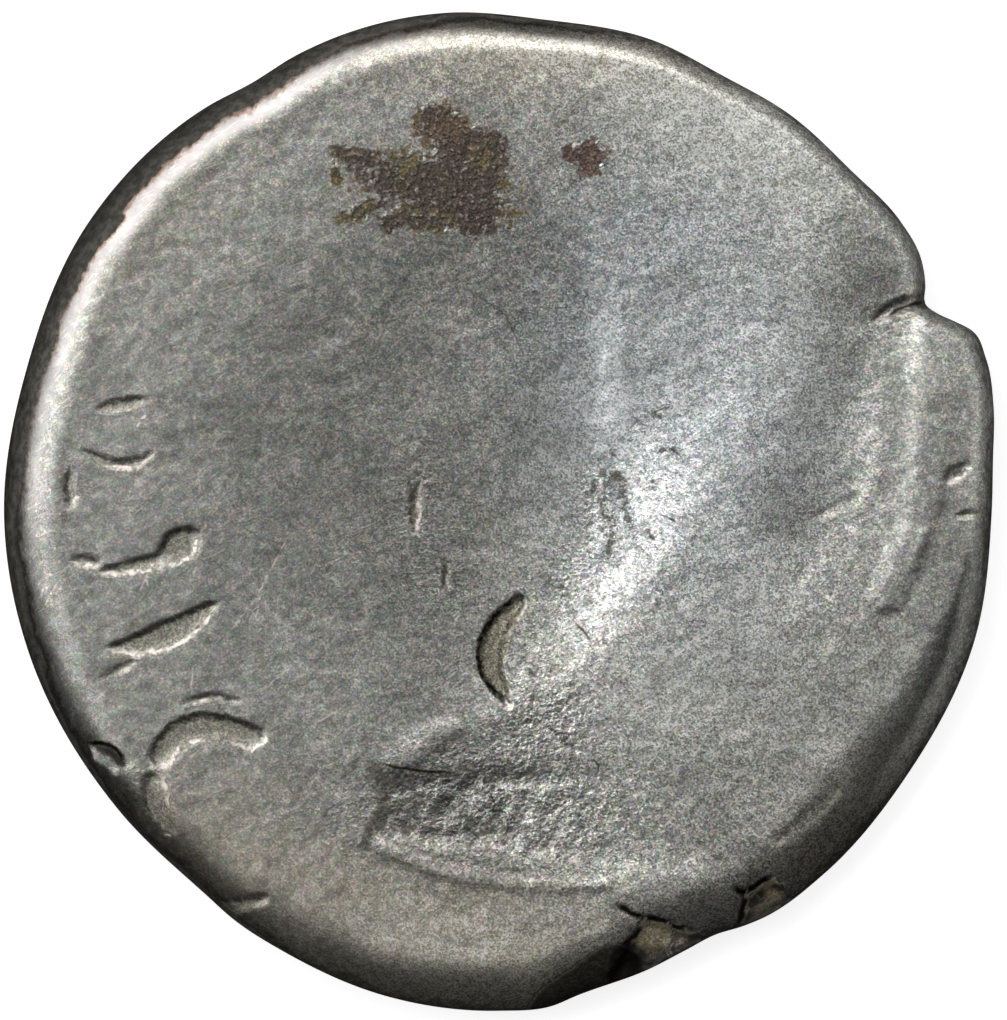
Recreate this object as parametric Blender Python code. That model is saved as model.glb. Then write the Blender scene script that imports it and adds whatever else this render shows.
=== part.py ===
"""A worn silver drachm, one struck piece, lying on its plainer side.

Metres, +Z up. The origin is under the middle of the coin, on the surface that it lies on. +X is the
right and +Y the top of the side that shows. Places on the coin are given in half-widths from its
middle, so that they follow the width; depths are real sizes of their own.
"""

import bpy
import numpy as np

MM = 0.001

# Driving sizes
COIN_WIDTH = 18.0 * MM
COIN_THICKNESS = 1.6 * MM
TOP_SHOULDER = 1.15 * MM  # how far in from the outline the rounded edge reaches on the side that shows
UNDER_SHOULDER = 0.85 * MM
STROKE_DEPTH = 0.15 * MM  # the deepest sunk stroke
SWELL_HEIGHT = 0.16 * MM  # the strongest rise or hollow of the worn field
UNDER_RELIEF = 0.09 * MM  # how far the field round the worn patch stands off the table
EDGE_LINE = 0.48  # height of the widest line of the edge, as a share of the thickness
EDGE_WAVE = 0.05 * MM  # how far that line wanders up and down
EDGE_FULLNESS = 2.0  # 2 is an elliptical edge, and more is squarer
ROUNDING = 0.12 * MM  # how far the outer field falls away before the rounded edge begins
ROUNDING_MIDDLE = (0.14, -0.10)

# How finely the surface is laid out before it is thinned to its faces
SECTORS = 640
FIELD_ROWS = 112
SHOULDER_ROWS = 16
UNDER_ROWS = 40
FLAKE_EDGE_ROWS = 5  # rows in which a flake's floor drops to the widest line
FACES = 8800
TABLE_SNAP = 0.0005 * MM  # thinning lifts the flat patch by less than this

# The outline: degrees anticlockwise from +X, and the distance from the middle in half-widths
OUTLINE = (
    (0, 0.994), (6, 1.002), (12, 1.020), (17.5, 1.030), (21, 1.022), (22.8, 0.995), (24.3, 0.972),
    (26.1, 0.957), (28, 0.974), (31, 0.993), (36, 1.000), (44, 0.990), (54, 0.994), (63, 0.990),
    (72, 1.002), (85, 0.999), (96, 1.014), (114, 1.010), (120, 1.001), (126, 1.010), (145, 1.016),
    (163, 0.999), (180, 1.002), (196, 0.994), (218, 0.978), (233, 0.976), (236.5, 0.983), (244, 0.990),
    (257, 1.005), (270, 1.008), (276, 1.004), (279, 0.990), (288, 0.972), (293, 0.962), (297, 0.959),
    (300.5, 0.971), (303, 0.978), (312, 0.982), (327, 0.980), (345, 0.994),
)  # fmt: skip

# The rounded edge's width round the coin, as a share of TOP_SHOULDER
SHOULDER_SHARES = (
    (0, 0.32), (20, 0.27), (40, 0.28), (60, 0.34), (80, 0.50), (100, 0.66), (120, 0.74), (140, 0.80),
    (160, 0.84), (180, 0.88), (200, 0.90), (220, 0.74), (240, 0.90), (262, 0.80), (282, 0.90), (300, 0.95),
    (320, 1.20), (340, 0.85),
)  # fmt: skip

# Wide rises and hollows of the worn field: middle, half-lengths, turn in degrees, share of SWELL_HEIGHT
SWELLS = (
    ((0.10, 0.02), (0.70, 0.85), -10, -1.00),  # the whole face, dished
    ((0.14, 0.02), (0.19, 0.36), -24, -0.62),  # the deeper middle of the dish
    ((0.13, 0.55), (0.15, 0.36), 0, -0.30),  # its shallow upper end
    ((-0.10, 0.42), (0.22, 0.18), 20, -0.22),  # the dull round hollow at its upper left
    ((0.71, 0.24), (0.085, 0.32), -14, -0.62),  # the trough inside the folded rim
    ((0.83, 0.40), (0.12, 0.09), -30, -0.30),  # where the fold pinches it
    ((0.62, -0.04), (0.09, 0.13), -40, -0.34),  # its shallow lower end
    ((0.30, -0.76), (0.13, 0.06), 8, 0.34),  # the lump above the first chip
    ((-0.04, -0.42), (0.20, 0.045), 27, 0.22),  # the worn ridge above the block
    ((0.55, -0.55), (0.22, 0.20), 30, -0.16),
    ((-0.55, 0.40), (0.30, 0.30), 0, 0.14),
)

# Sloping walls in the worn field that rise across their turn: middle, half-length and width, turn, share
WALLS = (
    ((0.245, -0.100), (0.28, 0.105), -118, 0.80),  # the bright wall at the lower right of the dish
    ((0.410, 0.120), (0.90, 0.300), -104, 0.95),  # the whole right half, which rises to the right
    ((0.212, 0.36), (0.26, 0.050), -86, 0.25),  # the long upright crease above it
    ((-0.045, -0.455), (0.15, 0.040), -145, 0.14),  # the step above the block
)

# Sunk strokes: three points that each one runs through, its width there, and its share of STROKE_DEPTH.
# Each is steep on the left of the way it runs, and rises gently on the right of it.
SUNK_STROKES = (
    (((-0.808, 0.208), (-0.766, 0.218), (-0.715, 0.230)), (0.014, 0.028, 0.012), 0.13),
    (((-0.838, 0.124), (-0.762, 0.094), (-0.703, 0.116)), (0.012, 0.026, 0.012), 0.12),
    (((-0.864, 0.022), (-0.868, 0.050), (-0.866, 0.084)), (0.028, 0.022, 0.012), 0.18),
    (((-0.854, -0.100), (-0.834, -0.103), (-0.812, -0.106)), (0.018, 0.028, 0.020), 0.16),
    (((-0.798, -0.120), (-0.745, -0.112), (-0.690, -0.102)), (0.018, 0.032, 0.034), 0.20),
    (((-0.670, -0.088), (-0.645, -0.070), (-0.626, -0.058)), (0.044, 0.068, 0.056), 0.42),
    (((-0.778, -0.274), (-0.672, -0.250), (-0.582, -0.194)), (0.018, 0.058, 0.028), 0.34),
    (((-0.800, -0.336), (-0.766, -0.318), (-0.735, -0.300)), (0.012, 0.020, 0.012), 0.08),
    (((-0.682, -0.494), (-0.616, -0.436), (-0.500, -0.458)), (0.050, 0.060, 0.048), 0.38),
    (((-0.632, -0.390), (-0.583, -0.374), (-0.532, -0.380)), (0.010, 0.018, 0.010), 0.12),
    (((-0.664, -0.640), (-0.690, -0.592), (-0.696, -0.545)), (0.030, 0.052, 0.044), 0.24),
    (((0.010, -0.362), (-0.020, -0.282), (0.040, -0.186)), (0.030, 0.056, 0.038), 0.80),
    (((0.022, -0.384), (0.010, -0.372), (0.000, -0.352)), (0.008, 0.016, 0.020), 0.45),
    (((-0.172, -0.042), (-0.170, 0.010), (-0.164, 0.052)), (0.012, 0.026, 0.018), 0.12),
    (((-0.110, -0.156), (-0.109, -0.120), (-0.110, -0.094)), (0.010, 0.016, 0.010), 0.10),
    (((0.760, 0.388), (0.812, 0.412), (0.870, 0.424)), (0.018, 0.036, 0.044), 0.42),
    (((0.905, 0.066), (0.920, 0.078), (0.940, 0.090)), (0.020, 0.034, 0.020), 0.20),
    (((0.932, -0.010), (0.955, -0.006), (0.985, 0.002)), (0.010, 0.018, 0.020), 0.22),
    (((-0.568, -0.801), (-0.519, -0.791), (-0.475, -0.779)), (0.036, 0.030, 0.016), 0.30),
    (((0.640, -0.010), (0.690, 0.012), (0.722, 0.032)), (0.020, 0.030, 0.018), 0.06),
    (((0.560, -0.665), (0.625, -0.620), (0.680, -0.560)), (0.020, 0.034, 0.020), 0.10),
)  # fmt: skip

# Low forms that stand up: the same three points, widths and share. They are steep on the right.
RAISED_STROKES = (
    (((-0.262, -0.662), (-0.060, -0.735), (0.214, -0.752)), (0.046, 0.050, 0.034), 0.09),  # ground line
    (((-0.212, -0.505), (-0.158, -0.466), (-0.090, -0.430)), (0.060, 0.080, 0.050), 0.09),  # over the block
    (((0.770, -0.170), (0.862, 0.100), (0.856, 0.360)), (0.080, 0.120, 0.100), 0.20),  # crest of the fold
    (((0.800, -0.190), (0.836, -0.110), (0.850, -0.040)), (0.026, 0.038, 0.024), 0.10),
    (((0.205, -0.060), (0.208, 0.000), (0.216, 0.060)), (0.054, 0.068, 0.054), 0.10),  # the figure's remains
)

# The sunk block above the ground line: its corners, how wide its walls slope, its share of STROKE_DEPTH,
# and where it fades out to the right
BLOCK_CORNERS = ((-0.272, -0.672), (0.340, -0.752), (0.330, -0.470), (-0.238, -0.520))
BLOCK_WALL = 0.050
BLOCK_SHARE = 0.26
BLOCK_FADE = (-0.05, 0.30)

# Flakes broken off the edge: corners anticlockwise, and the floor's height over the widest line at its
# outer and inner side, as shares of the height from that line to the top
FLAKES = (
    (((0.214, -0.935), (0.260, -1.020), (0.470, -0.900), (0.404, -0.849), (0.332, -0.824), (0.291, -0.817)),
     0.28, 0.74),
    (((0.484, -0.842), (0.500, -0.900), (0.620, -0.800), (0.556, -0.741), (0.535, -0.745), (0.492, -0.776)),
     0.34, 0.80),
    (((-0.838, -0.466), (-0.832, -0.510), (-0.772, -0.542), (-0.750, -0.512), (-0.780, -0.478)),
     0.62, 0.90),
)  # fmt: skip
FLAKE_WALL = 0.014
FLAKE_REACH = 0.13  # how far in from the outline the floor's inner height is reached

# The underside: the worn patch that the coin rests on, and worn strokes round it
REST_PATCH = ((0, 0.50), (40, 0.46), (90, 0.56), (140, 0.44), (200, 0.47), (260, 0.58), (320, 0.45))
REST_PATCH_WALL = 0.16
UNDER_STROKES = 15
UNDER_STROKE_RING = 0.765
UNDER_STROKE_SIZE = (0.085, 0.030)
UNDER_STROKE_GAP = (6, 7)  # a stretch of the ring is worn bare, counted in strokes


def smooth_step(t):
    """0 up to t = 0, 1 from t = 1, and a smooth rise between them."""
    t = np.clip(t, 0.0, 1.0)
    return t * t * (3.0 - 2.0 * t)


def around(points, degrees):
    """A smooth closed curve through (degrees, value) points: cubic spans with the neighbours' slopes."""
    at = np.array([p[0] for p in points], float)
    value = np.array([p[1] for p in points], float)
    at = np.concatenate([at[-2:] - 360.0, at, at[:3] + 360.0])
    value = np.concatenate([value[-2:], value, value[:3]])
    slope = np.gradient(value, at)
    span = np.clip(np.searchsorted(at, degrees, side="right") - 1, 0, len(at) - 2)
    length = at[span + 1] - at[span]
    t = (degrees - at[span]) / length
    start = value[span] * (1 + 2 * t) * (1 - t) ** 2 + slope[span] * length * t * (1 - t) ** 2
    end = value[span + 1] * t * t * (3 - 2 * t) + slope[span + 1] * length * t * t * (t - 1)
    return start + end


def own_axes(x, y, middle, half_lengths, turn):
    """Distances from a middle along a turned pair of axes, each as a share of its half-length."""
    c, s = np.cos(np.radians(turn)), np.sin(np.radians(turn))
    dx, dy = x - middle[0], y - middle[1]
    return (c * dx + s * dy) / half_lengths[0], (c * dy - s * dx) / half_lengths[1]


def through(three, t):
    """The even curve through three points, or three values, at t from 0 to 1."""
    first, mid, last = (np.asarray(p, float) for p in three)
    bend = 2 * mid - (first + last) / 2
    t = np.asarray(t, float).reshape(-1, *[1] * first.ndim)
    return first * (1 - t) ** 2 + 2 * bend * t * (1 - t) + last * t * t


def from_line(x, y, line, reach):
    """Distance of each place from a line of points, up to reach, how far along the line it is, 0 to 1,
    and 1 where it lies on the left of the way the line runs, or else -1."""
    line = np.asarray(line, float)
    nearest, along, side = np.full(x.shape, 9.0), np.zeros(x.shape), np.ones(x.shape)
    low, high = line.min(0) - reach, line.max(0) + reach
    near = (x > low[0]) & (x < high[0]) & (y > low[1]) & (y < high[1])
    px, py = x[near], y[near]
    away, place, left = np.full(px.shape, 9.0), np.zeros(px.shape), np.ones(px.shape)
    for i in range(len(line) - 1):
        run = line[i + 1] - line[i]
        t = np.clip(((px - line[i, 0]) * run[0] + (py - line[i, 1]) * run[1]) / (run @ run), 0, 1)
        gap = np.hypot(px - line[i, 0] - t * run[0], py - line[i, 1] - t * run[1])
        closer = gap < away
        away[closer] = gap[closer]
        place[closer] = ((i + t) / (len(line) - 1))[closer]
        left[closer] = np.sign(run[0] * (py - line[i, 1]) - run[1] * (px - line[i, 0]))[closer]
    nearest[near], along[near], side[near] = away, place, left
    return nearest, along, side


def stroke(x, y, path, widths, flat_left=0.0, flat_right=0.0, steps=14):
    """How deep a stroke is at each place, 0 to 1. It is full up to a share of its half-width on each side,
    and falls off smoothly from there to its half-width."""
    away, along, side = from_line(x, y, through(path, np.linspace(0, 1, steps + 1)), max(widths))
    half = through(widths, along.ravel()).reshape(x.shape) / 2
    flat = np.where(side > 0, flat_left, flat_right)
    return 1 - smooth_step((away / half - flat) / (1 - flat))


def blots(x, y, listed):
    """The sum of soft round blots at each place."""
    total = np.zeros_like(x)
    for middle, half_lengths, turn, amount in listed:
        u, v = own_axes(x, y, middle, half_lengths, turn)
        total += amount * np.exp(-(u * u) - v * v)
    return total


def inside_corners(x, y, corners):
    """How far inside a convex outline each place is, negative outside it."""
    inner = np.full(x.shape, 9.0)
    for (ax, ay), (bx, by) in zip(corners, corners[1:] + corners[:1]):
        length = np.hypot(bx - ax, by - ay)
        inner = np.minimum(inner, ((bx - ax) * (y - ay) - (by - ay) * (x - ax)) / length)
    return inner


def in_block(x, y):
    """How deep in the sunk block each place is, 0 to 1."""
    fade = smooth_step((BLOCK_FADE[1] - x) / (BLOCK_FADE[1] - BLOCK_FADE[0]))
    return fade * smooth_step(inside_corners(x, y, BLOCK_CORNERS) / BLOCK_WALL)


def top_relief(x, y):
    """Height of the side that shows, above its plain level, at places in half-widths."""
    height = SWELL_HEIGHT * blots(x, y, SWELLS)
    for middle, half_lengths, turn, share in WALLS:
        u, v = own_axes(x, y, middle, half_lengths, turn)
        height += SWELL_HEIGHT * share * (smooth_step((v + 1) / 2) - 0.5) * np.exp(-(u * u) - (v / 3) ** 2)
    sunk = np.zeros_like(x)
    for path, widths, share in SUNK_STROKES:
        sunk = np.maximum(sunk, share * stroke(x, y, path, widths, flat_left=0.6, flat_right=0.2))
    height -= STROKE_DEPTH * sunk
    for path, widths, share in RAISED_STROKES:
        height += STROKE_DEPTH * share * stroke(x, y, path, widths, flat_right=0.4)
    height -= STROKE_DEPTH * BLOCK_SHARE * in_block(x, y)
    away = np.hypot(x - ROUNDING_MIDDLE[0], y - ROUNDING_MIDDLE[1])
    height -= ROUNDING * smooth_step((away - 0.64) / 0.70)
    return height


def under_relief(x, y):
    """Height of the underside above the table: flat on the worn patch, then a field with worn strokes."""
    angle, radius = np.arctan2(y, x), np.hypot(x, y)
    patch = around(REST_PATCH, np.degrees(angle) % 360.0)
    rise = smooth_step((radius - patch) / REST_PATCH_WALL)
    marks = np.zeros_like(x)
    for i in range(UNDER_STROKES):
        if i in UNDER_STROKE_GAP:
            continue
        turn = 360.0 * i / UNDER_STROKES
        middle = UNDER_STROKE_RING * np.cos(np.radians(turn)), UNDER_STROKE_RING * np.sin(np.radians(turn))
        lean = turn + 18.0 * (i % 3 - 1)
        u, v = own_axes(x, y, middle, UNDER_STROKE_SIZE, lean)
        marks = np.maximum(marks, smooth_step(1.5 - np.hypot(u, v)))
    return UNDER_RELIEF * rise * (1.0 + 0.8 * marks)


def coin_surface():
    """Rows of points from the middle of the top, over the edge, to the middle of the underside."""
    half = COIN_WIDTH / 2
    degrees = np.arange(SECTORS) * 360.0 / SECTORS
    out = around(OUTLINE, degrees) * half
    shoulder = around(SHOULDER_SHARES, degrees) * TOP_SHOULDER
    line = EDGE_LINE * COIN_THICKNESS + EDGE_WAVE * np.sin(np.radians(3 * degrees + 40))
    cos, sin = np.cos(np.radians(degrees)), np.sin(np.radians(degrees))
    soft = 2.0 / EDGE_FULLNESS

    field = np.arange(1, FIELD_ROWS + 1)[:, None] / FIELD_ROWS
    bend = np.linspace(np.pi / 2, 0, SHOULDER_ROWS + 1)[1:, None]
    top_radius = np.concatenate([field * (out - shoulder), out - shoulder + shoulder * np.cos(bend) ** soft])
    top_share = np.concatenate([np.ones((FIELD_ROWS, 1)), np.sin(bend) ** soft])
    top_share[-1] = 0.0
    x, y = top_radius * cos / half, top_radius * sin / half
    plain = top_relief(x, y)
    middle = top_relief(np.zeros(1), np.zeros(1))
    level = COIN_THICKNESS - max(plain.max(), middle.max())
    top_height = line + (level + plain - line) * top_share
    inwards = smooth_step((out - top_radius) / (FLAKE_REACH * half))
    off_edge = np.clip(np.arange(len(top_radius) - 1, -1, -1)[:, None] / FLAKE_EDGE_ROWS, 0, 1)
    for corners, outer_height, inner_height in FLAKES:
        floor = line + (level - line) * (outer_height + (inner_height - outer_height) * inwards) * off_edge
        top_height += (floor - top_height) * smooth_step(inside_corners(x, y, corners) / FLAKE_WALL)

    back = bend[-2::-1]
    inward = np.arange(UNDER_ROWS, 0, -1)[:, None] / UNDER_ROWS
    inner = out - UNDER_SHOULDER
    under_radius = np.concatenate([inner + UNDER_SHOULDER * np.cos(back) ** soft, inward * inner])
    under_share = np.concatenate([np.sin(back) ** soft, np.ones((UNDER_ROWS, 1))])
    rest = under_relief(under_radius * cos / half, under_radius * sin / half)
    under_height = line + (rest - line) * under_share

    radius = np.concatenate([top_radius, under_radius])
    rows = np.stack([radius * cos, radius * sin, np.concatenate([top_height, under_height])], axis=-1)
    shift = (rows[..., :2].reshape(-1, 2).max(0) + rows[..., :2].reshape(-1, 2).min(0)) / 2
    poles = np.array([[0.0, 0.0, level + middle[0]], [0.0, 0.0, 0.0]])
    points = np.concatenate([poles, rows.reshape(-1, 3)])
    points[:, :2] -= shift
    return points, len(rows)


def coin_faces(rows):
    """Triangles at the two middles and squares between the rows, all with their backs inside."""
    here = np.arange(SECTORS)
    after = (here + 1) % SECTORS
    ring = 2 + np.arange(rows)[:, None] * SECTORS
    first = np.stack([np.zeros_like(here), ring[0] + here, ring[0] + after], axis=-1)
    last = np.stack([np.ones_like(here), ring[-1] + after, ring[-1] + here], axis=-1)
    upper, lower = ring[:-1], ring[1:]
    squares = np.stack([upper + here, lower + here, lower + after, upper + after], axis=-1)
    return first.tolist() + squares.reshape(-1, 4).tolist() + last.tolist()


def silver():
    material = bpy.data.materials.new("worn_silver")
    material.use_nodes = True
    shader = material.node_tree.nodes["Principled BSDF"]
    shader.inputs["Base Color"].default_value = (0.46, 0.46, 0.45, 1.0)
    shader.inputs["Metallic"].default_value = 1.0
    shader.inputs["Roughness"].default_value = 0.42
    return material


def thinned(coin, faces):
    """The coin's mesh with its plain stretches in fewer faces, and its rest patch pressed truly flat."""
    thin = coin.modifiers.new("thin to its forms", "DECIMATE")
    thin.ratio = faces / len(coin.data.loop_triangles)
    mesh = bpy.data.meshes.new_from_object(coin.evaluated_get(bpy.context.evaluated_depsgraph_get()))
    coin.modifiers.remove(thin)
    for vertex in mesh.vertices:
        if vertex.co.z < TABLE_SNAP:
            vertex.co.z = 0.0
    return mesh


def build_coin():
    points, rows = coin_surface()
    mesh = bpy.data.meshes.new("coin fine")
    mesh.from_pydata(points.tolist(), [], coin_faces(rows))
    mesh.calc_loop_triangles()
    coin = bpy.data.objects.new("coin", mesh)
    bpy.context.scene.collection.objects.link(coin)
    coin.data = thinned(coin, FACES)
    coin.data.materials.append(silver())
    coin.data.shade_smooth()
    return coin


for old in list(bpy.data.objects):
    bpy.data.objects.remove(old)
build_coin()
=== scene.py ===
"""The looks of a worn silver drachm that lies on a pale floor, seen from straight above.

One piece stands for the coin. It keeps the solid's form, worked out from the same named values, and adds
the finer wear: cracks, pitting, crust, dirt in the strokes, and the grain of old silver. Its colour also
carries painted highlights, glints and painted shade.
Lengths are metres. Places on the coin are in half-widths from its middle, +X right and +Y up the face.
"""

import bpy
import numpy as np
from types import SimpleNamespace
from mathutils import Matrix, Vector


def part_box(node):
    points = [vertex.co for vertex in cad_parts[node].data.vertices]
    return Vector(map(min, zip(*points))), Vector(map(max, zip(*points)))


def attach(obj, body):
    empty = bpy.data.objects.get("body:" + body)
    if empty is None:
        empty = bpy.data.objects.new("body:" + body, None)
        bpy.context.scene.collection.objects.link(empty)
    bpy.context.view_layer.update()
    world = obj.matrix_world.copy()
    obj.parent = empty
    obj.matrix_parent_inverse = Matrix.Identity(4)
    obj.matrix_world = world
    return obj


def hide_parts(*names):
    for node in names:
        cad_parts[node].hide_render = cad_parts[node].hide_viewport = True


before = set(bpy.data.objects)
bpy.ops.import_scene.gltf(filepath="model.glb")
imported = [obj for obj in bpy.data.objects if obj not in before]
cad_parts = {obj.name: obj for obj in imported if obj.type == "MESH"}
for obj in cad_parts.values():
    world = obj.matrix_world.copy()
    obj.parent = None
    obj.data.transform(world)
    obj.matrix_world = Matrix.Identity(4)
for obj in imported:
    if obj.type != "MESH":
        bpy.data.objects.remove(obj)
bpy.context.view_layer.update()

MM = 0.001

# The coin's driving sizes, as in the solid
COIN_WIDTH = 18.0 * MM
COIN_THICKNESS = 1.6 * MM
TOP_SHOULDER = 1.15 * MM
UNDER_SHOULDER = 0.85 * MM
STROKE_DEPTH = 0.15 * MM
SWELL_HEIGHT = 0.16 * MM
UNDER_RELIEF = 0.09 * MM
EDGE_LINE = 0.48
EDGE_WAVE = 0.05 * MM
EDGE_FULLNESS = 2.0
ROUNDING = 0.12 * MM  # how far the outer field falls away before the rounded edge begins
ROUNDING_MIDDLE = (0.14, -0.10)
ROUNDING_START = 0.64  # from that middle, in half-widths
ROUNDING_REACH = 0.70

# How finely the mesh is laid out: squares along one side of the grid that is bent into a disc
TOP_CELLS = 297
RIM_STEPS = 3  # the top grid's steps for each step of the underside's grid
UNDER_CELLS = TOP_CELLS // RIM_STEPS
UNDER_START = 6.0  # degrees round the lower edge where the underside's coarser grid begins

# The outline: degrees anticlockwise from +X, and the distance from the middle in half-widths
OUTLINE = (
    (0, 0.994), (6, 1.002), (12, 1.020), (17.5, 1.030), (21, 1.022), (22.8, 0.995), (24.3, 0.972),
    (26.1, 0.957), (28, 0.974), (31, 0.993), (36, 1.000), (44, 0.990), (54, 0.994), (63, 0.990),
    (72, 1.002), (85, 0.999), (96, 1.014), (114, 1.010), (120, 1.001), (126, 1.010), (145, 1.016),
    (163, 0.999), (180, 1.002), (196, 0.994), (218, 0.978), (233, 0.976), (236.5, 0.983), (244, 0.990),
    (257, 1.005), (270, 1.008), (276, 1.004), (279, 0.990), (288, 0.972), (293, 0.962), (297, 0.959),
    (300.5, 0.971), (303, 0.978), (312, 0.982), (327, 0.980), (345, 0.994),
)  # fmt: skip

# The rounded edge's width round the coin, as a share of TOP_SHOULDER
SHOULDER_SHARES = (
    (0, 0.32), (20, 0.27), (40, 0.28), (60, 0.34), (80, 0.50), (100, 0.66), (120, 0.74), (140, 0.80),
    (160, 0.84), (180, 0.88), (200, 0.90), (220, 0.74), (240, 0.90), (262, 0.80), (282, 0.90), (300, 0.95),
    (320, 1.20), (340, 0.85),
)  # fmt: skip

# Wide rises and hollows of the worn field: middle, half-lengths, turn in degrees, share of SWELL_HEIGHT
SWELLS = (
    ((0.10, 0.02), (0.70, 0.85), -10, -1.00),  # the whole face, dished
    ((0.14, 0.02), (0.19, 0.36), -24, -0.62),  # the deeper middle of the dish
    ((0.13, 0.55), (0.15, 0.36), 0, -0.30),  # its shallow upper end
    ((-0.10, 0.42), (0.22, 0.18), 20, -0.22),  # the dull round hollow at its upper left
    ((0.71, 0.24), (0.085, 0.32), -14, -0.62),  # the trough inside the folded rim
    ((0.83, 0.40), (0.12, 0.09), -30, -0.30),  # where the fold pinches it
    ((0.62, -0.04), (0.09, 0.13), -40, -0.34),  # its shallow lower end
    ((0.30, -0.76), (0.13, 0.06), 8, 0.34),  # the lump above the first chip
    ((-0.04, -0.42), (0.20, 0.045), 27, 0.22),  # the worn ridge above the block
    ((0.55, -0.55), (0.22, 0.20), 30, -0.16),
    ((-0.55, 0.40), (0.30, 0.30), 0, 0.14),
)

# Sloping walls in the worn field that rise across their turn: middle, half-length and width, turn, share
WALLS = (
    ((0.245, -0.100), (0.28, 0.105), -118, 0.80),  # the bright wall at the lower right of the dish
    ((0.410, 0.120), (0.90, 0.300), -104, 0.95),  # the whole right half, which rises to the right
    ((0.212, 0.36), (0.26, 0.050), -86, 0.25),  # the long upright crease above it
    ((-0.045, -0.455), (0.15, 0.040), -145, 0.14),  # the step above the block
)

# Sunk strokes: three points that each one runs through, its width there, and its share of STROKE_DEPTH.
# Each is steep on the left of the way it runs, and rises gently on the right of it.
SUNK_STROKES = (
    (((-0.808, 0.208), (-0.766, 0.218), (-0.715, 0.230)), (0.014, 0.028, 0.012), 0.13),
    (((-0.838, 0.124), (-0.762, 0.094), (-0.703, 0.116)), (0.012, 0.026, 0.012), 0.12),
    (((-0.864, 0.022), (-0.868, 0.050), (-0.866, 0.084)), (0.028, 0.022, 0.012), 0.18),
    (((-0.854, -0.100), (-0.834, -0.103), (-0.812, -0.106)), (0.018, 0.028, 0.020), 0.16),
    (((-0.798, -0.120), (-0.745, -0.112), (-0.690, -0.102)), (0.018, 0.032, 0.034), 0.20),
    (((-0.670, -0.088), (-0.645, -0.070), (-0.626, -0.058)), (0.044, 0.068, 0.056), 0.42),
    (((-0.778, -0.274), (-0.672, -0.250), (-0.582, -0.194)), (0.018, 0.058, 0.028), 0.34),
    (((-0.800, -0.336), (-0.766, -0.318), (-0.735, -0.300)), (0.012, 0.020, 0.012), 0.08),
    (((-0.682, -0.494), (-0.616, -0.436), (-0.500, -0.458)), (0.050, 0.060, 0.048), 0.38),
    (((-0.632, -0.390), (-0.583, -0.374), (-0.532, -0.380)), (0.010, 0.018, 0.010), 0.12),
    (((-0.664, -0.640), (-0.690, -0.592), (-0.696, -0.545)), (0.030, 0.052, 0.044), 0.24),
    (((0.010, -0.362), (-0.020, -0.282), (0.040, -0.186)), (0.030, 0.056, 0.038), 0.80),
    (((0.022, -0.384), (0.010, -0.372), (0.000, -0.352)), (0.008, 0.016, 0.020), 0.45),
    (((-0.172, -0.042), (-0.170, 0.010), (-0.164, 0.052)), (0.012, 0.026, 0.018), 0.12),
    (((-0.110, -0.156), (-0.109, -0.120), (-0.110, -0.094)), (0.010, 0.016, 0.010), 0.10),
    (((0.760, 0.388), (0.812, 0.412), (0.870, 0.424)), (0.018, 0.036, 0.044), 0.42),
    (((0.905, 0.066), (0.920, 0.078), (0.940, 0.090)), (0.020, 0.034, 0.020), 0.20),
    (((0.932, -0.010), (0.955, -0.006), (0.985, 0.002)), (0.010, 0.018, 0.020), 0.22),
    (((-0.568, -0.801), (-0.519, -0.791), (-0.475, -0.779)), (0.036, 0.030, 0.016), 0.30),
    (((0.640, -0.010), (0.690, 0.012), (0.722, 0.032)), (0.020, 0.030, 0.018), 0.06),
    (((0.560, -0.665), (0.625, -0.620), (0.680, -0.560)), (0.020, 0.034, 0.020), 0.10),
)  # fmt: skip

# Low forms that stand up: the same three points, widths and share. They are steep on the right.
RAISED_STROKES = (
    (((-0.262, -0.662), (-0.060, -0.735), (0.214, -0.752)), (0.046, 0.050, 0.034), 0.09),  # ground line
    (((-0.212, -0.505), (-0.158, -0.466), (-0.090, -0.430)), (0.060, 0.080, 0.050), 0.09),  # over the block
    (((0.770, -0.170), (0.862, 0.100), (0.856, 0.360)), (0.080, 0.120, 0.100), 0.20),  # crest of the fold
    (((0.800, -0.190), (0.836, -0.110), (0.850, -0.040)), (0.026, 0.038, 0.024), 0.10),
    (((0.205, -0.060), (0.208, 0.000), (0.216, 0.060)), (0.054, 0.068, 0.054), 0.10),  # in the bright wall
)

# The sunk block above the ground line: its corners, how wide its walls slope, its share of STROKE_DEPTH,
# and where it fades out to the right
BLOCK_CORNERS = ((-0.272, -0.672), (0.340, -0.752), (0.330, -0.470), (-0.238, -0.520))
BLOCK_WALL = 0.050
BLOCK_SHARE = 0.26
BLOCK_FADE = (-0.05, 0.30)

# Flakes broken off the edge: corners anticlockwise, and the floor's height over the widest line at its
# outer and inner side, as shares of the height from that line to the top
FLAKES = (
    (((0.214, -0.935), (0.260, -1.020), (0.470, -0.900), (0.404, -0.849), (0.332, -0.824), (0.291, -0.817)),
     0.28, 0.74),
    (((0.484, -0.842), (0.500, -0.900), (0.620, -0.800), (0.556, -0.741), (0.535, -0.745), (0.492, -0.776)),
     0.34, 0.80),
    (((-0.838, -0.466), (-0.832, -0.510), (-0.772, -0.542), (-0.750, -0.512), (-0.780, -0.478)),
     0.62, 0.90),
)  # fmt: skip
DARK_FLAKES = 2  # the first ones show dark broken metal
FLAKE_WALL = 0.014
FLAKE_REACH = 0.13  # how far in from the outline the floor's inner height is reached

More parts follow.
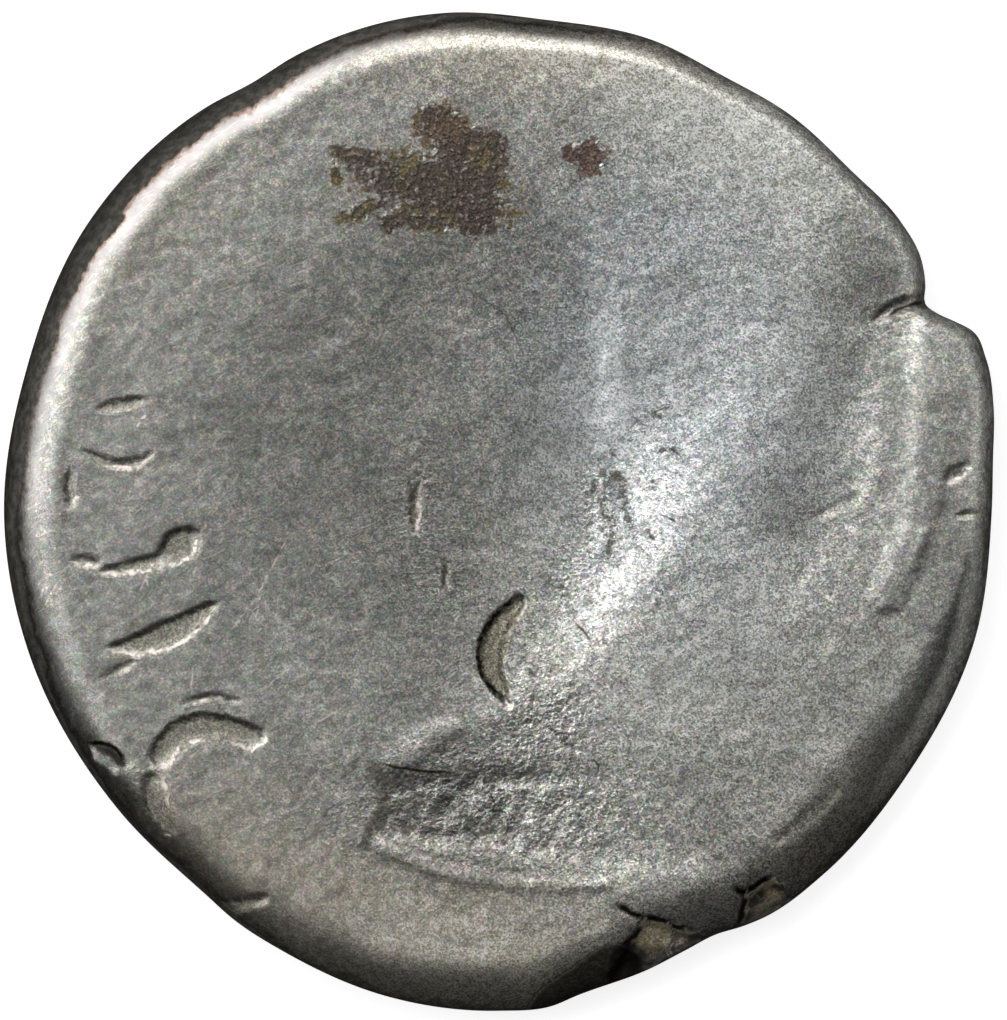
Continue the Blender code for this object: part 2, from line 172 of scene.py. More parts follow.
# The underside: the worn patch that the coin rests on, and worn strokes round it
REST_PATCH = ((0, 0.50), (40, 0.46), (90, 0.56), (140, 0.44), (200, 0.47), (260, 0.58), (320, 0.45))
REST_PATCH_WALL = 0.16
UNDER_STROKES = 15
UNDER_STROKE_RING = 0.765
UNDER_STROKE_SIZE = (0.085, 0.030)
UNDER_STROKE_GAP = (6, 7)

# Finer wear that only the looks carry

# The slope beside the first chip is painted black as shade, through the edge gap mask
PAINTED_SHADE_SLOPE = ((0.130, -1.000), (0.180, -0.965), (0.225, -0.915))  # the black slope beside the first chip

# Cracks and dark creases: the points that each runs through, its width in half-widths, and strength
CRACKS = (
    (((0.226, -0.790), (0.250, -0.800), (0.291, -0.819), (0.324, -0.823), (0.358, -0.837), (0.404, -0.848)),
     0.014, 1.0),
    (((0.291, -0.819), (0.277, -0.849), (0.258, -0.868), (0.236, -0.888), (0.220, -0.925)), 0.016, 1.0),
    (((0.466, -0.752), (0.488, -0.766), (0.510, -0.759), (0.530, -0.742), (0.552, -0.736)), 0.014, 1.0),
    (((0.497, -0.768), (0.491, -0.797), (0.484, -0.842)), 0.016, 1.0),
    (((0.335, -0.830), (0.350, -0.862), (0.338, -0.884), (0.352, -0.908)), 0.008, 0.8),
    (((0.300, -0.850), (0.330, -0.872), (0.372, -0.868)), 0.006, 0.7),
    (((0.862, 0.424), (0.822, 0.416), (0.798, 0.405), (0.782, 0.394)), 0.008, 0.9),
    (((-0.838, -0.466), (-0.800, -0.466), (-0.772, -0.478), (-0.752, -0.508)), 0.010, 1.0),
    (((-0.244, -0.506), (-0.205, -0.516), (-0.143, -0.524), (-0.088, -0.524)), 0.006, 0.9),
    (((0.113, -0.452), (0.135, -0.466), (0.154, -0.472)), 0.008, 0.6),
    (((-0.059, 0.447), (0.012, 0.397), (0.053, 0.306)), 0.004, 0.5),
    (((0.184, 0.030), (0.188, 0.052), (0.202, 0.072), (0.222, 0.078), (0.240, 0.066), (0.248, 0.044)),
     0.012, 0.22),
    (((0.248, 0.044), (0.252, 0.012), (0.262, -0.024), (0.272, -0.050)), 0.010, 0.22),
    (((0.172, -0.093), (0.200, -0.094), (0.230, -0.092)), 0.005, 0.45),
    (((0.150, -0.222), (0.168, -0.240), (0.184, -0.262)), 0.006, 0.8),
    (((0.212, -0.244), (0.205, -0.262), (0.222, -0.270)), 0.004, 0.6),
    (((0.300, -0.040), (0.306, -0.056), (0.316, -0.048)), 0.006, 0.8),
    (((0.322, -0.006), (0.342, -0.012), (0.358, -0.022)), 0.004, 0.7),
    (((0.330, 0.130), (0.352, 0.124), (0.368, 0.108)), 0.005, 0.5),
    (((0.300, 0.195), (0.325, 0.207), (0.345, 0.212)), 0.004, 0.7),
    (((0.270, 0.192), (0.286, 0.178), (0.306, 0.172)), 0.004, 0.5),
    (((0.505, 0.170), (0.520, 0.150), (0.530, 0.128)), 0.004, 0.5),
    (((-0.180, 0.060), (-0.176, 0.020), (-0.180, -0.010)), 0.008, 0.3),
    (((-0.022, -0.560), (-0.010, -0.588), (-0.016, -0.612)), 0.005, 0.7),
    (((0.010, -0.600), (0.018, -0.640), (0.004, -0.662)), 0.005, 0.6),
    (((-0.190, -0.616), (-0.120, -0.622), (-0.060, -0.610)), 0.006, 0.6),
    (((0.095, -0.430), (0.116, -0.446), (0.148, -0.450)), 0.006, 0.6),
    (((0.186, -0.496), (0.200, -0.512), (0.196, -0.530)), 0.004, 0.7),
)  # fmt: skip

CRACKS_CUT_IN = 4  # the first ones are also cut into the surface
CRACK_DEPTH = 0.015 * MM
EDGE_WANDER = 0.007  # how far the edges of strokes stray from their plain lines, in half-widths
WANDER_PITCH = 0.055

# Roughness of the metal, each with its height and the distance from lump to lump
FINE_PITTING = 0.0030 * MM
FINE_PITCH = 0.16 * MM
COARSE_PITTING = 0.008 * MM
COARSE_PITCH = 0.45 * MM
ROUGH_BLOCK = 0.030 * MM
BLOCK_PITCH = 0.22 * MM
ROUGH_FLAKE = 0.080 * MM
FLAKE_PITCH = 0.25 * MM
CRUST_PITCH = 0.55 * MM
DIRT_PITCH = 0.30 * MM

# Brown crust on the face: middle, half-lengths, turn in degrees, and strength
CRUST_BLOTS = (
    ((-0.114, 0.780), (0.060, 0.040), -8, 1.0),
    ((-0.075, 0.735), (0.080, 0.050), -22, 1.0),
    ((-0.030, 0.690), (0.045, 0.080), -10, 1.0),
    ((-0.140, 0.664), (0.150, 0.056), -8, 1.0),
    ((-0.110, 0.606), (0.150, 0.042), 4, 0.9),
    ((-0.045, 0.590), (0.050, 0.040), 20, 0.85),
    ((-0.230, 0.665), (0.045, 0.040), -40, 0.8),
    ((-0.290, 0.715), (0.070, 0.024), -14, 0.75),
    ((-0.330, 0.680), (0.022, 0.040), 10, 0.55),
    ((-0.270, 0.610), (0.080, 0.020), 22, 0.75),
    ((-0.220, 0.580), (0.030, 0.026), 0, 0.8),
    ((0.180, 0.715), (0.034, 0.034), 0, 1.0),
    ((0.140, 0.722), (0.026, 0.040), 0, 0.5),
    ((0.018, 0.575), (0.014, 0.012), 0, 0.5),
)

# Where the crust is maroon: middle, half-lengths, turn in degrees, and strength
CRUST_MAROON = (((0.170, 0.725), (0.080, 0.080), 0, 1.3), ((-0.100, 0.770), (0.090, 0.050), -10, 0.7))

# Dirt and dull stains: points that each runs through, its width, and strength
STAINS = (
    (((0.188, 0.044), (0.196, 0.066), (0.214, 0.078), (0.236, 0.072), (0.247, 0.052)), 0.040, 0.60),
    (((0.247, 0.052), (0.252, 0.017), (0.260, -0.018), (0.268, -0.046)), 0.036, 0.55),
    (((0.212, 0.060), (0.218, 0.030), (0.224, -0.020), (0.216, -0.075)), 0.080, 0.36),
    (((0.085, -0.140), (0.120, -0.155), (0.135, -0.165)), 0.070, 0.45),
    (((0.287, 0.190), (0.308, 0.194), (0.330, 0.192)), 0.016, 0.70),
    (((0.300, 0.196), (0.325, 0.207), (0.345, 0.212)), 0.008, 0.50),
    (((0.228, 0.118), (0.234, 0.120)), 0.026, 0.55),
    (((0.325, 0.124), (0.350, 0.126), (0.364, 0.108)), 0.020, 0.60),
    (((0.306, 0.060), (0.316, 0.056)), 0.022, 0.55),
    (((0.342, -0.012), (0.356, -0.018)), 0.016, 0.60),
    (((0.296, -0.040), (0.310, -0.054)), 0.020, 0.70),
    (((0.132, 0.046), (0.144, 0.044)), 0.034, 0.40),
    (((-0.190, 0.066), (-0.176, 0.040), (-0.170, 0.000), (-0.170, -0.040)), 0.020, 0.65),
    (((-0.190, 0.072), (-0.150, 0.084), (-0.115, 0.074), (-0.130, 0.020)), 0.040, 0.30),
    (((-0.110, -0.094), (-0.112, -0.156)), 0.012, 0.50),
    (((-0.058, -0.140), (-0.052, -0.166)), 0.014, 0.45),
    (((0.070, -0.300), (0.064, -0.340), (0.066, -0.375)), 0.060, 0.35),
    (((-0.525, -0.520), (-0.500, -0.545)), 0.060, 0.30),
    (((-0.256, -0.516), (-0.232, -0.545), (-0.232, -0.605), (-0.262, -0.638), (-0.274, -0.672)),
     0.046, 1.0),
    (((-0.200, -0.560), (-0.150, -0.590), (-0.190, -0.640)), 0.060, 0.45),
    (((-0.080, -0.600), (-0.040, -0.640), (0.010, -0.630)), 0.060, 0.45),
    (((-0.230, -0.660), (-0.100, -0.700), (0.060, -0.726)), 0.020, 0.45),
    (((-0.272, -0.676), (-0.160, -0.724), (-0.060, -0.752), (0.110, -0.764), (0.214, -0.758)), 0.016, 0.75),
    (((-0.250, -0.508), (-0.140, -0.524), (-0.080, -0.520), (0.030, -0.480)), 0.020, 0.45),
    (((0.740, 0.400), (0.790, 0.395), (0.850, 0.418)), 0.050, 0.60),
    (((0.910, 0.075), (0.940, 0.080)), 0.026, 0.60),
    (((0.560, -0.660), (0.620, -0.625), (0.680, -0.565)), 0.012, 0.40),
)  # fmt: skip

# Clean bright cuts, painted bright as highlights of fine grooves: where each starts and ends, and its width
# in half-widths
CUTS = (
    ((-0.516, -0.494), (-0.474, -0.462), 0.0070),
    ((-0.652, -0.500), (-0.628, -0.476), 0.0060),
    ((-0.628, -0.476), (-0.590, -0.456), 0.0060),
    ((-0.680, -0.284), (-0.640, -0.262), 0.0075),
    ((-0.640, -0.262), (-0.598, -0.232), 0.0065),
    ((-0.744, -0.303), (-0.722, -0.290), 0.0060),
    ((-0.430, -0.055), (-0.462, -0.118), 0.0038),
    ((-0.462, -0.118), (-0.494, -0.178), 0.0043),
    ((-0.494, -0.178), (-0.541, -0.236), 0.0060),
    ((-0.476, -0.134), (-0.492, -0.216), 0.0034),
    ((-0.446, -0.170), (-0.452, -0.220), 0.0030),
    ((-0.487, -0.365), (-0.404, -0.299), 0.0043),
    ((-0.386, -0.437), (-0.327, -0.399), 0.0034),
    ((-0.548, -0.655), (-0.492, -0.627), 0.0043),
    ((-0.392, -0.672), (-0.374, -0.658), 0.0060),
    ((-0.410, -0.712), (-0.394, -0.696), 0.0055),
    ((-0.392, -0.808), (-0.376, -0.796), 0.0043),
    ((-0.619, -0.310), (-0.623, -0.370), 0.0043),
    ((-0.734, 0.164), (-0.708, 0.204), 0.0060),
    ((-0.664, -0.112), (-0.618, -0.086), 0.0080),
    ((-0.618, -0.086), (-0.610, -0.052), 0.0060),
    ((-0.735, -0.120), (-0.697, -0.122), 0.0130),
    ((-0.697, -0.100), (-0.728, -0.162), 0.0040),
    ((-0.840, -0.106), (-0.812, -0.110), 0.0120),
    ((-0.864, 0.030), (-0.846, 0.024), 0.0150),
    ((-0.792, 0.200), (-0.745, 0.206), 0.0050),
    ((-0.800, 0.092), (-0.735, 0.088), 0.0060),
    ((-0.445, 0.010), (-0.425, 0.028), 0.0034),
    ((0.582, -0.035), (0.527, -0.116), 0.0046),
    ((0.527, -0.116), (0.470, -0.180), 0.0052),
    ((0.470, -0.180), (0.414, -0.236), 0.0054),
    ((0.414, -0.236), (0.330, -0.314), 0.0048),
    ((0.330, -0.314), (0.285, -0.355), 0.0040),
    ((0.300, -0.352), (0.186, -0.458), 0.0038),
    ((0.345, -0.372), (0.250, -0.418), 0.0022),
    ((0.283, 0.773), (0.400, 0.813), 0.0022),
    ((0.321, 0.670), (0.459, 0.708), 0.0020),
    ((0.491, 0.601), (0.529, 0.615), 0.0026),
)

# Warmer and cooler parts of the metal, and brighter or darker parts, partly the metal's tone and partly
# painted light and shade: middle, half-lengths, turn, amount
WARMTH = (
    ((0.12, 0.95), (0.60, 0.14), -6, 1.0),
    ((-0.20, -0.90), (0.70, 0.20), -8, 1.2),
    ((-0.62, -0.70), (0.28, 0.28), 0, 0.6),
    ((-0.70, 0.65), (0.16, 0.45), -38, 0.6),
    ((0.75, -0.62), (0.30, 0.20), 38, 0.7),
    ((0.36, 0.20), (0.36, 0.46), 0, -1.0),
    ((0.30, 0.45), (0.20, 0.30), 0, -0.5),
)
TONE_AND_PAINTED_LIGHT = (
    ((0.44, 0.24), (0.32, 0.56), 6, 0.24),
    ((0.30, -0.12), (0.20, 0.16), 50, -0.38),
    ((0.42, 0.84), (0.42, 0.16), -22, 0.62),
    ((0.05, 0.96), (0.30, 0.06), 0, 0.55),
    ((-0.05, -0.90), (0.50, 0.13), -4, 0.48),
    ((-0.14, -0.62), (0.20, 0.12), -8, -0.32),
    ((-0.10, -0.44), (0.20, 0.20), 0, -0.22),
    ((-0.18, 0.42), (0.24, 0.26), 0, -0.12),
    ((-0.20, -0.10), (0.26, 0.24), 0, -0.18),
    ((-0.48, 0.28), (0.30, 0.36), 0, -0.18),
    ((0.52, -0.38), (0.26, 0.22), 0, 0.28),
    ((0.78, -0.52), (0.14, 0.25), -35, 0.54),
    ((0.62, 0.25), (0.08, 0.25), 0, 0.38),
    ((0.79, 0.22), (0.06, 0.20), 0, -0.27),
    ((0.08, 0.10), (0.09, 0.26), -10, 0.48),
    ((0.22, 0.22), (0.09, 0.13), 0, 0.48),
    ((0.33, -0.33), (0.14, 0.10), -20, 0.32),
    ((0.66, -0.07), (0.09, 0.12), 0, -0.36),
    ((0.50, -0.10), (0.10, 0.16), 0, 0.14),
    ((0.38, -0.83), (0.14, 0.05), 25, 0.55),
    ((0.46, -0.66), (0.12, 0.06), 0, -0.12),
    ((0.18, -0.66), (0.18, 0.08), 0, -0.12),
    ((0.82, -0.10), (0.07, 0.14), 0, 0.16),
    ((0.96, 0.00), (0.05, 0.30), 0, 0.18),
    ((0.82, 0.14), (0.024, 0.26), -4, 0.30),
    ((0.46, -0.16), (0.12, 0.14), 0, 0.24),
    ((0.38, 0.38), (0.12, 0.12), 0, 0.08),
    ((-0.06, 0.22), (0.10, 0.10), 0, 0.12),
    ((-0.30, -0.34), (0.20, 0.12), 0, 0.18),
    ((-0.38, -0.74), (0.22, 0.14), -30, 0.16),
    ((-0.78, -0.56), (0.08, 0.10), 0, -0.14),
    ((-0.94, -0.16), (0.07, 0.36), 6, -0.28),
)

# The wall of the dish that is worn smooth, with a painted highlight that makes it nearly white
POLISHED_HIGHLIGHT = (
    ((0.345, 0.050), (0.110, 0.050), 38, 0.95),
    ((0.315, -0.060), (0.055, 0.090), -24, 0.85),
    ((0.195, -0.190), (0.085, 0.035), 24, 1.00),
    ((0.245, -0.140), (0.070, 0.040), 40, 0.85),
    ((0.160, -0.120), (0.060, 0.030), 20, 0.45),
    ((0.030, -0.262), (0.014, 0.070), -8, 0.60),
)

# The photograph's frame, and where it shows the coin
PHOTO_WIDTH = 1007
PHOTO_HEIGHT = 1020
PIXELS_PER_METRE = 55.0 / MM
COIN_MIDDLE_PIXEL = (499.0, 511.5)
CAMERA_DISTANCE = 0.35

# Where the metal is crumpled, round the worn middle and in the block: middle, half-lengths, turn, amount
CRUMPLED = (
    ((-0.10, -0.60), (0.24, 0.11), -6, 0.65),
    ((0.18, -0.62), (0.16, 0.12), 0, 0.35),
    ((0.10, -0.36), (0.10, 0.16), 10, 0.45),
    ((0.02, -0.46), (0.16, 0.07), 20, 0.40),
    ((-0.16, 0.02), (0.06, 0.11), 0, 0.45),
    ((-0.12, -0.14), (0.07, 0.06), 0, 0.35),
    ((0.20, 0.00), (0.05, 0.11), 0, 0.45),
    ((0.14, -0.13), (0.09, 0.05), 10, 0.40),
    ((0.32, 0.13), (0.08, 0.10), 0, 0.25),
    ((0.10, 0.42), (0.05, 0.14), 20, 0.25),
    ((0.80, 0.40), (0.06, 0.05), 0, 0.35),
    ((-0.70, -0.52), (0.10, 0.10), 0, 0.20),
)

# How wide the dark outer edge is, toned and darkened further with painted shade: degrees and millimetres
DARK_EDGE = (
    (0, 0.11), (30, 0.08), (60, 0.10), (85, 0.17), (100, 0.24), (118, 0.38), (135, 0.48), (155, 0.42),
    (175, 0.36), (192, 0.31), (208, 0.24), (235, 0.14), (270, 0.12), (300, 0.13), (330, 0.14),
)  # fmt: skip
# How strongly the rim inside it is lit, which sets its painted white highlight: degrees and strength
PAINTED_RIM_HIGHLIGHT = (
    (0, 0.0), (60, 0.0), (92, 0.30), (115, 0.85), (140, 1.0), (163, 0.72), (178, 0.44), (195, 0.28),
    (215, 0.0), (300, 0.0),
)  # fmt: skip
# Where the rounded edge is dull enough to stay grey instead of dark: degrees and strength
SOFT_EDGE = ((0, 1.0), (30, 1.0), (60, 0.8), (85, 0.0), (180, 0.0), (270, 0.0), (320, 0.0), (342, 0.8))

# Colours, as light in red, green and blue
SILVER_PLAIN = (0.505, 0.510, 0.470, 1.0)
SILVER_COOL = (0.485, 0.510, 0.512, 1.0)
SILVER_WARM = (0.548, 0.512, 0.436, 1.0)
# SILVER_BRIGHT: fresh scratches, and the painted highlights on the strokes' gentle walls and on the cuts
SILVER_BRIGHT = (1.00, 0.90, 0.84, 1.0)
SILVER_HIGHLIGHT_WHITE = (0.95, 0.93, 0.93, 1.0)
SILVER_PAINTED_GLINT = (1.00, 0.84, 0.70, 1.0)
RIM_HIGHLIGHT_WHITE = (0.46, 0.43, 0.43, 1.0)
RIM_HIGHLIGHT_RED = (0.360, 0.210, 0.170, 1.0)
EDGE_BROWN = (0.060, 0.055, 0.045, 1.0)
EDGE_SHADE_BLACK = (0.020, 0.017, 0.013, 1.0)
CREASE_DARK = (0.030, 0.026, 0.022, 1.0)
SHADE_AND_CRACK_BLACK = (0.016, 0.013, 0.009, 1.0)
DIRT_BROWN = (0.070, 0.064, 0.042, 1.0)
DIRT_OLIVE = (0.230, 0.215, 0.155, 1.0)
CRUST_OLIVE = (0.060, 0.058, 0.030, 1.0)
CRUST_BROWN = (0.066, 0.041, 0.032, 1.0)
CRUST_OCHRE = (0.170, 0.115, 0.030, 1.0)
CRUST_RED = (0.095, 0.040, 0.036, 1.0)
CRUST_PAINTED_GLINT = (0.420, 0.320, 0.270, 1.0)
FLAKE_DARK = (0.030, 0.025, 0.018, 1.0)
FLAKE_PALE = (0.340, 0.285, 0.180, 1.0)
FLOOR_PALE = (0.55, 0.55, 0.55, 1.0)
FLOOR_IN_METAL = (0.04, 0.04, 0.04, 1.0)

# The grain: how wide its facets are, how high, and how much a facet darkens or brightens the silver
GRAIN_PITCH = 0.031 * MM
GRAIN_HEIGHT = 0.002 * MM
GRAIN_LOW = 0.08
GRAIN_SPAN = 2.35
MOTTLE_LOW = 0.35  # the same for the crust and the chips
MOTTLE_SPAN = 1.6
SPARK_PITCH = 0.10 * MM
CRUMPLE_HEIGHT = 0.045 * MM
CRUST_ROUGH = 0.85  # shares of that height
CHIP_ROUGH = 0.35
CRUMPLED_ROUGH = 0.55

# Clouds on the metal: how many to the metre, and detail
WIDE_CLOUDS = (900.0, 2.0)
MIDDLING_CLOUDS = (5500.0, 2.0)
SMALL_CLOUDS = (9000.0, 1.5)

# Short scratches: turn in radians, length, width, and how rare they are
HAIRLINES = ((-0.70, 0.35 * MM, 0.045 * MM, 0.755), (-0.38, 0.70 * MM, 0.040 * MM, 0.765))

# Where the dark edge, toned and with painted shade, ends, and where the rim's painted white highlight
# starts and ends, in millimetres in from the dark edge
TONE_AND_SHADE_SHARP = (-0.05, 0.03)
TONE_AND_SHADE_SOFT = (-0.24, 0.14)
RIM_START = (0.0, 0.06)
RIM_END = (0.16, 0.34)
SHADE_INSIDE_RIM_END = (0.60, 1.30)
SHADED_END = (-0.40, -0.18)
SOFT_END = (0.18, 0.36)
HIGHLIGHT_FRINGE = (0.01, 0.05)

# Light: name, azimuth and degrees off the vertical, distance, size, and brightness
SOFTBOXES = (
    ("key", 145, 33, 0.30, (0.175, 0.32), 3.0),
    ("right fill", 58, 34, 0.34, (0.24, 0.24), 1.30),
    ("overhead", 0, 0, 0.70, (0.30, 0.30), 0.06),
)
WORLD_BRIGHTNESS = 0.035
FLOOR_SIZE = 1.2
FLOOR_GLOW = 0.85


def smooth_step(t):
    """0 up to t = 0, 1 from t = 1, and a smooth rise between them."""
    t = np.clip(t, 0.0, 1.0)
    return t * t * (3.0 - 2.0 * t)


def around(points, degrees):
    """A smooth closed curve through (degrees, value) points: cubic spans with the neighbours' slopes."""
    at = np.array([p[0] for p in points], float)
    value = np.array([p[1] for p in points], float)
    at = np.concatenate([at[-2:] - 360.0, at, at[:3] + 360.0])
    value = np.concatenate([value[-2:], value, value[:3]])
    slope = np.gradient(value, at)
    span = np.clip(np.searchsorted(at, degrees, side="right") - 1, 0, len(at) - 2)
    length = at[span + 1] - at[span]
    t = (degrees - at[span]) / length
    start = value[span] * (1 + 2 * t) * (1 - t) ** 2 + slope[span] * length * t * (1 - t) ** 2
    end = value[span + 1] * t * t * (3 - 2 * t) + slope[span + 1] * length * t * t * (t - 1)
    return start + end


def own_axes(x, y, middle, half_lengths, turn):
    """Distances from a middle along a turned pair of axes, each as a share of its half-length."""
    c, s = np.cos(np.radians(turn)), np.sin(np.radians(turn))
    dx, dy = x - middle[0], y - middle[1]
    return (c * dx + s * dy) / half_lengths[0], (c * dy - s * dx) / half_lengths[1]


def through(three, t):
    """The even curve through three points, or three values, at t from 0 to 1."""
    first, mid, last = (np.asarray(p, float) for p in three)
    bend = 2 * mid - (first + last) / 2
    t = np.asarray(t, float).reshape(-1, *[1] * first.ndim)
    return first * (1 - t) ** 2 + 2 * bend * t * (1 - t) + last * t * t


def from_line(x, y, line, reach):
    """Distance of each place from a line of points, up to reach, how far along the line it is, 0 to 1,
    and 1 where it lies on the left of the way the line runs, or else -1."""
    line = np.asarray(line, float)
    nearest, along, side = np.full(x.shape, 9.0), np.zeros(x.shape), np.ones(x.shape)
    low, high = line.min(0) - reach, line.max(0) + reach
    near = (x > low[0]) & (x < high[0]) & (y > low[1]) & (y < high[1])
    px, py = x[near], y[near]
    away, place, left = np.full(px.shape, 9.0), np.zeros(px.shape), np.ones(px.shape)
    for i in range(len(line) - 1):
        run = line[i + 1] - line[i]
        t = np.clip(((px - line[i, 0]) * run[0] + (py - line[i, 1]) * run[1]) / (run @ run), 0, 1)
        gap = np.hypot(px - line[i, 0] - t * run[0], py - line[i, 1] - t * run[1])
        closer = gap < away
        away[closer] = gap[closer]
        place[closer] = ((i + t) / (len(line) - 1))[closer]
        left[closer] = np.sign(run[0] * (py - line[i, 1]) - run[1] * (px - line[i, 0]))[closer]
    nearest[near], along[near], side[near] = away, place, left
    return nearest, along, side


def stroke(x, y, path, widths, flat_left=0.0, flat_right=0.0, steps=14):
    """How deep a stroke is at each place, 0 to 1. It is full up to a share of its half-width on each side,
    and falls off smoothly from there to its half-width."""
    away, along, side = from_line(x, y, through(path, np.linspace(0, 1, steps + 1)), max(widths))
    half = through(widths, along.ravel()).reshape(x.shape) / 2
    flat = np.where(side > 0, flat_left, flat_right)
    return 1 - smooth_step((away / half - flat) / (1 - flat))


def blots(x, y, listed):
    """The sum of soft round blots at each place."""
    total = np.zeros_like(x)
    for middle, half_lengths, turn, amount in listed:
        u, v = own_axes(x, y, middle, half_lengths, turn)
        total += amount * np.exp(-(u * u) - v * v)
    return total


def inside_corners(x, y, corners):
    """How far inside a convex outline each place is, negative outside it."""
    inner = np.full(x.shape, 9.0)
    for (ax, ay), (bx, by) in zip(corners, corners[1:] + corners[:1]):
        length = np.hypot(bx - ax, by - ay)
        inner = np.minimum(inner, ((bx - ax) * (y - ay) - (by - ay) * (x - ax)) / length)
    return inner


def in_block(x, y):
    """How deep in the sunk block each place is, 0 to 1."""
    fade = smooth_step((BLOCK_FADE[1] - x) / (BLOCK_FADE[1] - BLOCK_FADE[0]))
    return fade * smooth_step(inside_corners(x, y, BLOCK_CORNERS) / BLOCK_WALL)


def lumps(points, pitch, seed):
    """Smooth uneven values from -1 to 1 in space: seeded values on a lattice of that pitch, blended."""
    table = np.random.default_rng(seed).uniform(-1, 1, (32, 32, 32))
    place = points / pitch
    cell = np.floor(place).astype(int)
    t = place - cell
    t = t * t * t * (t * (6 * t - 15) + 10)
    total = np.zeros(points.shape[:-1])
    for corner in np.ndindex(2, 2, 2):
        index = tuple(((cell + corner) % 32)[..., k] for k in range(3))
        share = np.prod(np.where(np.array(corner, bool), t, 1 - t), axis=-1)
        total += share * table[index]
    return total


def layers(points, pitch, seed, count=3):
    """Lumps at a pitch and at each half of it, each layer half as strong, kept within about -1 to 1."""
    total = sum(lumps(points, pitch / 2**k, seed + k) / 2**k for k in range(count))
    return total / (2 - 0.5 ** (count - 1))


def top_relief(x, y):
    """Height of the side that shows, above its plain level, at places in half-widths."""
    height = np.zeros_like(x)
    place = np.stack([x, y, np.zeros_like(x)], axis=-1)
    x = x + EDGE_WANDER * layers(place, WANDER_PITCH, 71)
    y = y + EDGE_WANDER * layers(place, WANDER_PITCH, 83)
    height += SWELL_HEIGHT * blots(x, y, SWELLS)
    for middle, half_lengths, turn, share in WALLS:
        u, v = own_axes(x, y, middle, half_lengths, turn)
        height += SWELL_HEIGHT * share * (smooth_step((v + 1) / 2) - 0.5) * np.exp(-(u * u) - (v / 3) ** 2)
    sunk = np.zeros_like(x)
    for path, widths, share in SUNK_STROKES:
        sunk = np.maximum(sunk, share * stroke(x, y, path, widths, flat_left=0.6, flat_right=0.2))
    height -= STROKE_DEPTH * sunk
    for path, widths, share in RAISED_STROKES:
        height += STROKE_DEPTH * share * stroke(x, y, path, widths, flat_right=0.4)
    height -= STROKE_DEPTH * BLOCK_SHARE * in_block(x, y)
    away = np.hypot(x - ROUNDING_MIDDLE[0], y - ROUNDING_MIDDLE[1])
    height -= ROUNDING * smooth_step((away - ROUNDING_START) / ROUNDING_REACH)
    return height


def under_relief(x, y):
    """Height of the underside above the table: flat on the worn patch, then a field with worn strokes."""
    angle, radius = np.arctan2(y, x), np.hypot(x, y)
    patch = around(REST_PATCH, np.degrees(angle) % 360.0)
    rise = smooth_step((radius - patch) / REST_PATCH_WALL)
    marks = np.zeros_like(x)
    for i in range(UNDER_STROKES):
        if i in UNDER_STROKE_GAP:
            continue
        turn = 360.0 * i / UNDER_STROKES
        middle = UNDER_STROKE_RING * np.cos(np.radians(turn)), UNDER_STROKE_RING * np.sin(np.radians(turn))
        lean = turn + 18.0 * (i % 3 - 1)
        u, v = own_axes(x, y, middle, UNDER_STROKE_SIZE, lean)
        marks = np.maximum(marks, smooth_step(1.5 - np.hypot(u, v)))
    return UNDER_RELIEF * rise * (1.0 + 0.8 * marks)


def disc(cells):
    """A square grid bent into a disc: each square ring of the grid becomes a circle.
    Gives the distance from the middle, 0 to 1, and the angle in degrees of every grid point."""
    a, b = np.meshgrid(np.linspace(-1, 1, cells + 1), np.linspace(-1, 1, cells + 1))
    wide = np.abs(a) >= np.abs(b)
    safe_a = np.where(a == 0, 1, a)
    safe_b = np.where(b == 0, 1, b)
    signed = np.where(wide, a, b)
    turn = np.where(wide, 45.0 * b / safe_a, 90.0 - 45.0 * a / safe_b)
    return np.abs(signed), (turn + np.where(signed < 0, 180.0, 0.0)) % 360.0


def edge_values(degrees):
    """Outline, top shoulder width and height of the widest line, at angles round the coin."""
    out = around(OUTLINE, degrees) * COIN_WIDTH / 2
    shoulder = around(SHOULDER_SHARES, degrees) * TOP_SHOULDER
    line = EDGE_LINE * COIN_THICKNESS + EDGE_WAVE * np.sin(np.radians(3 * degrees + 40))
    return out, shoulder, line


def rounded(share, inner, width, height, start=0.0):
    """Splits a way from the middle to the widest line into a flat field and a rounded edge, evenly by
    length. Gives the distance from the middle, and how much of the full height is left there."""
    arc = np.pi / 2 * np.sqrt((width**2 + height**2) / 2)
    turn = np.pi / 2 - np.radians(start)
    field = inner / (inner + arc * turn / (np.pi / 2))
    bend = np.pi / 2 - np.clip((share - field) / (1 - field), 0, 1) * turn
    soft = 2.0 / EDGE_FULLNESS
    radius = np.where(share < field, inner * share / field, inner + width * np.cos(bend).clip(0) ** soft)
    left = np.where(share < field, 1.0, np.sin(bend).clip(0) ** soft)
    return radius, left


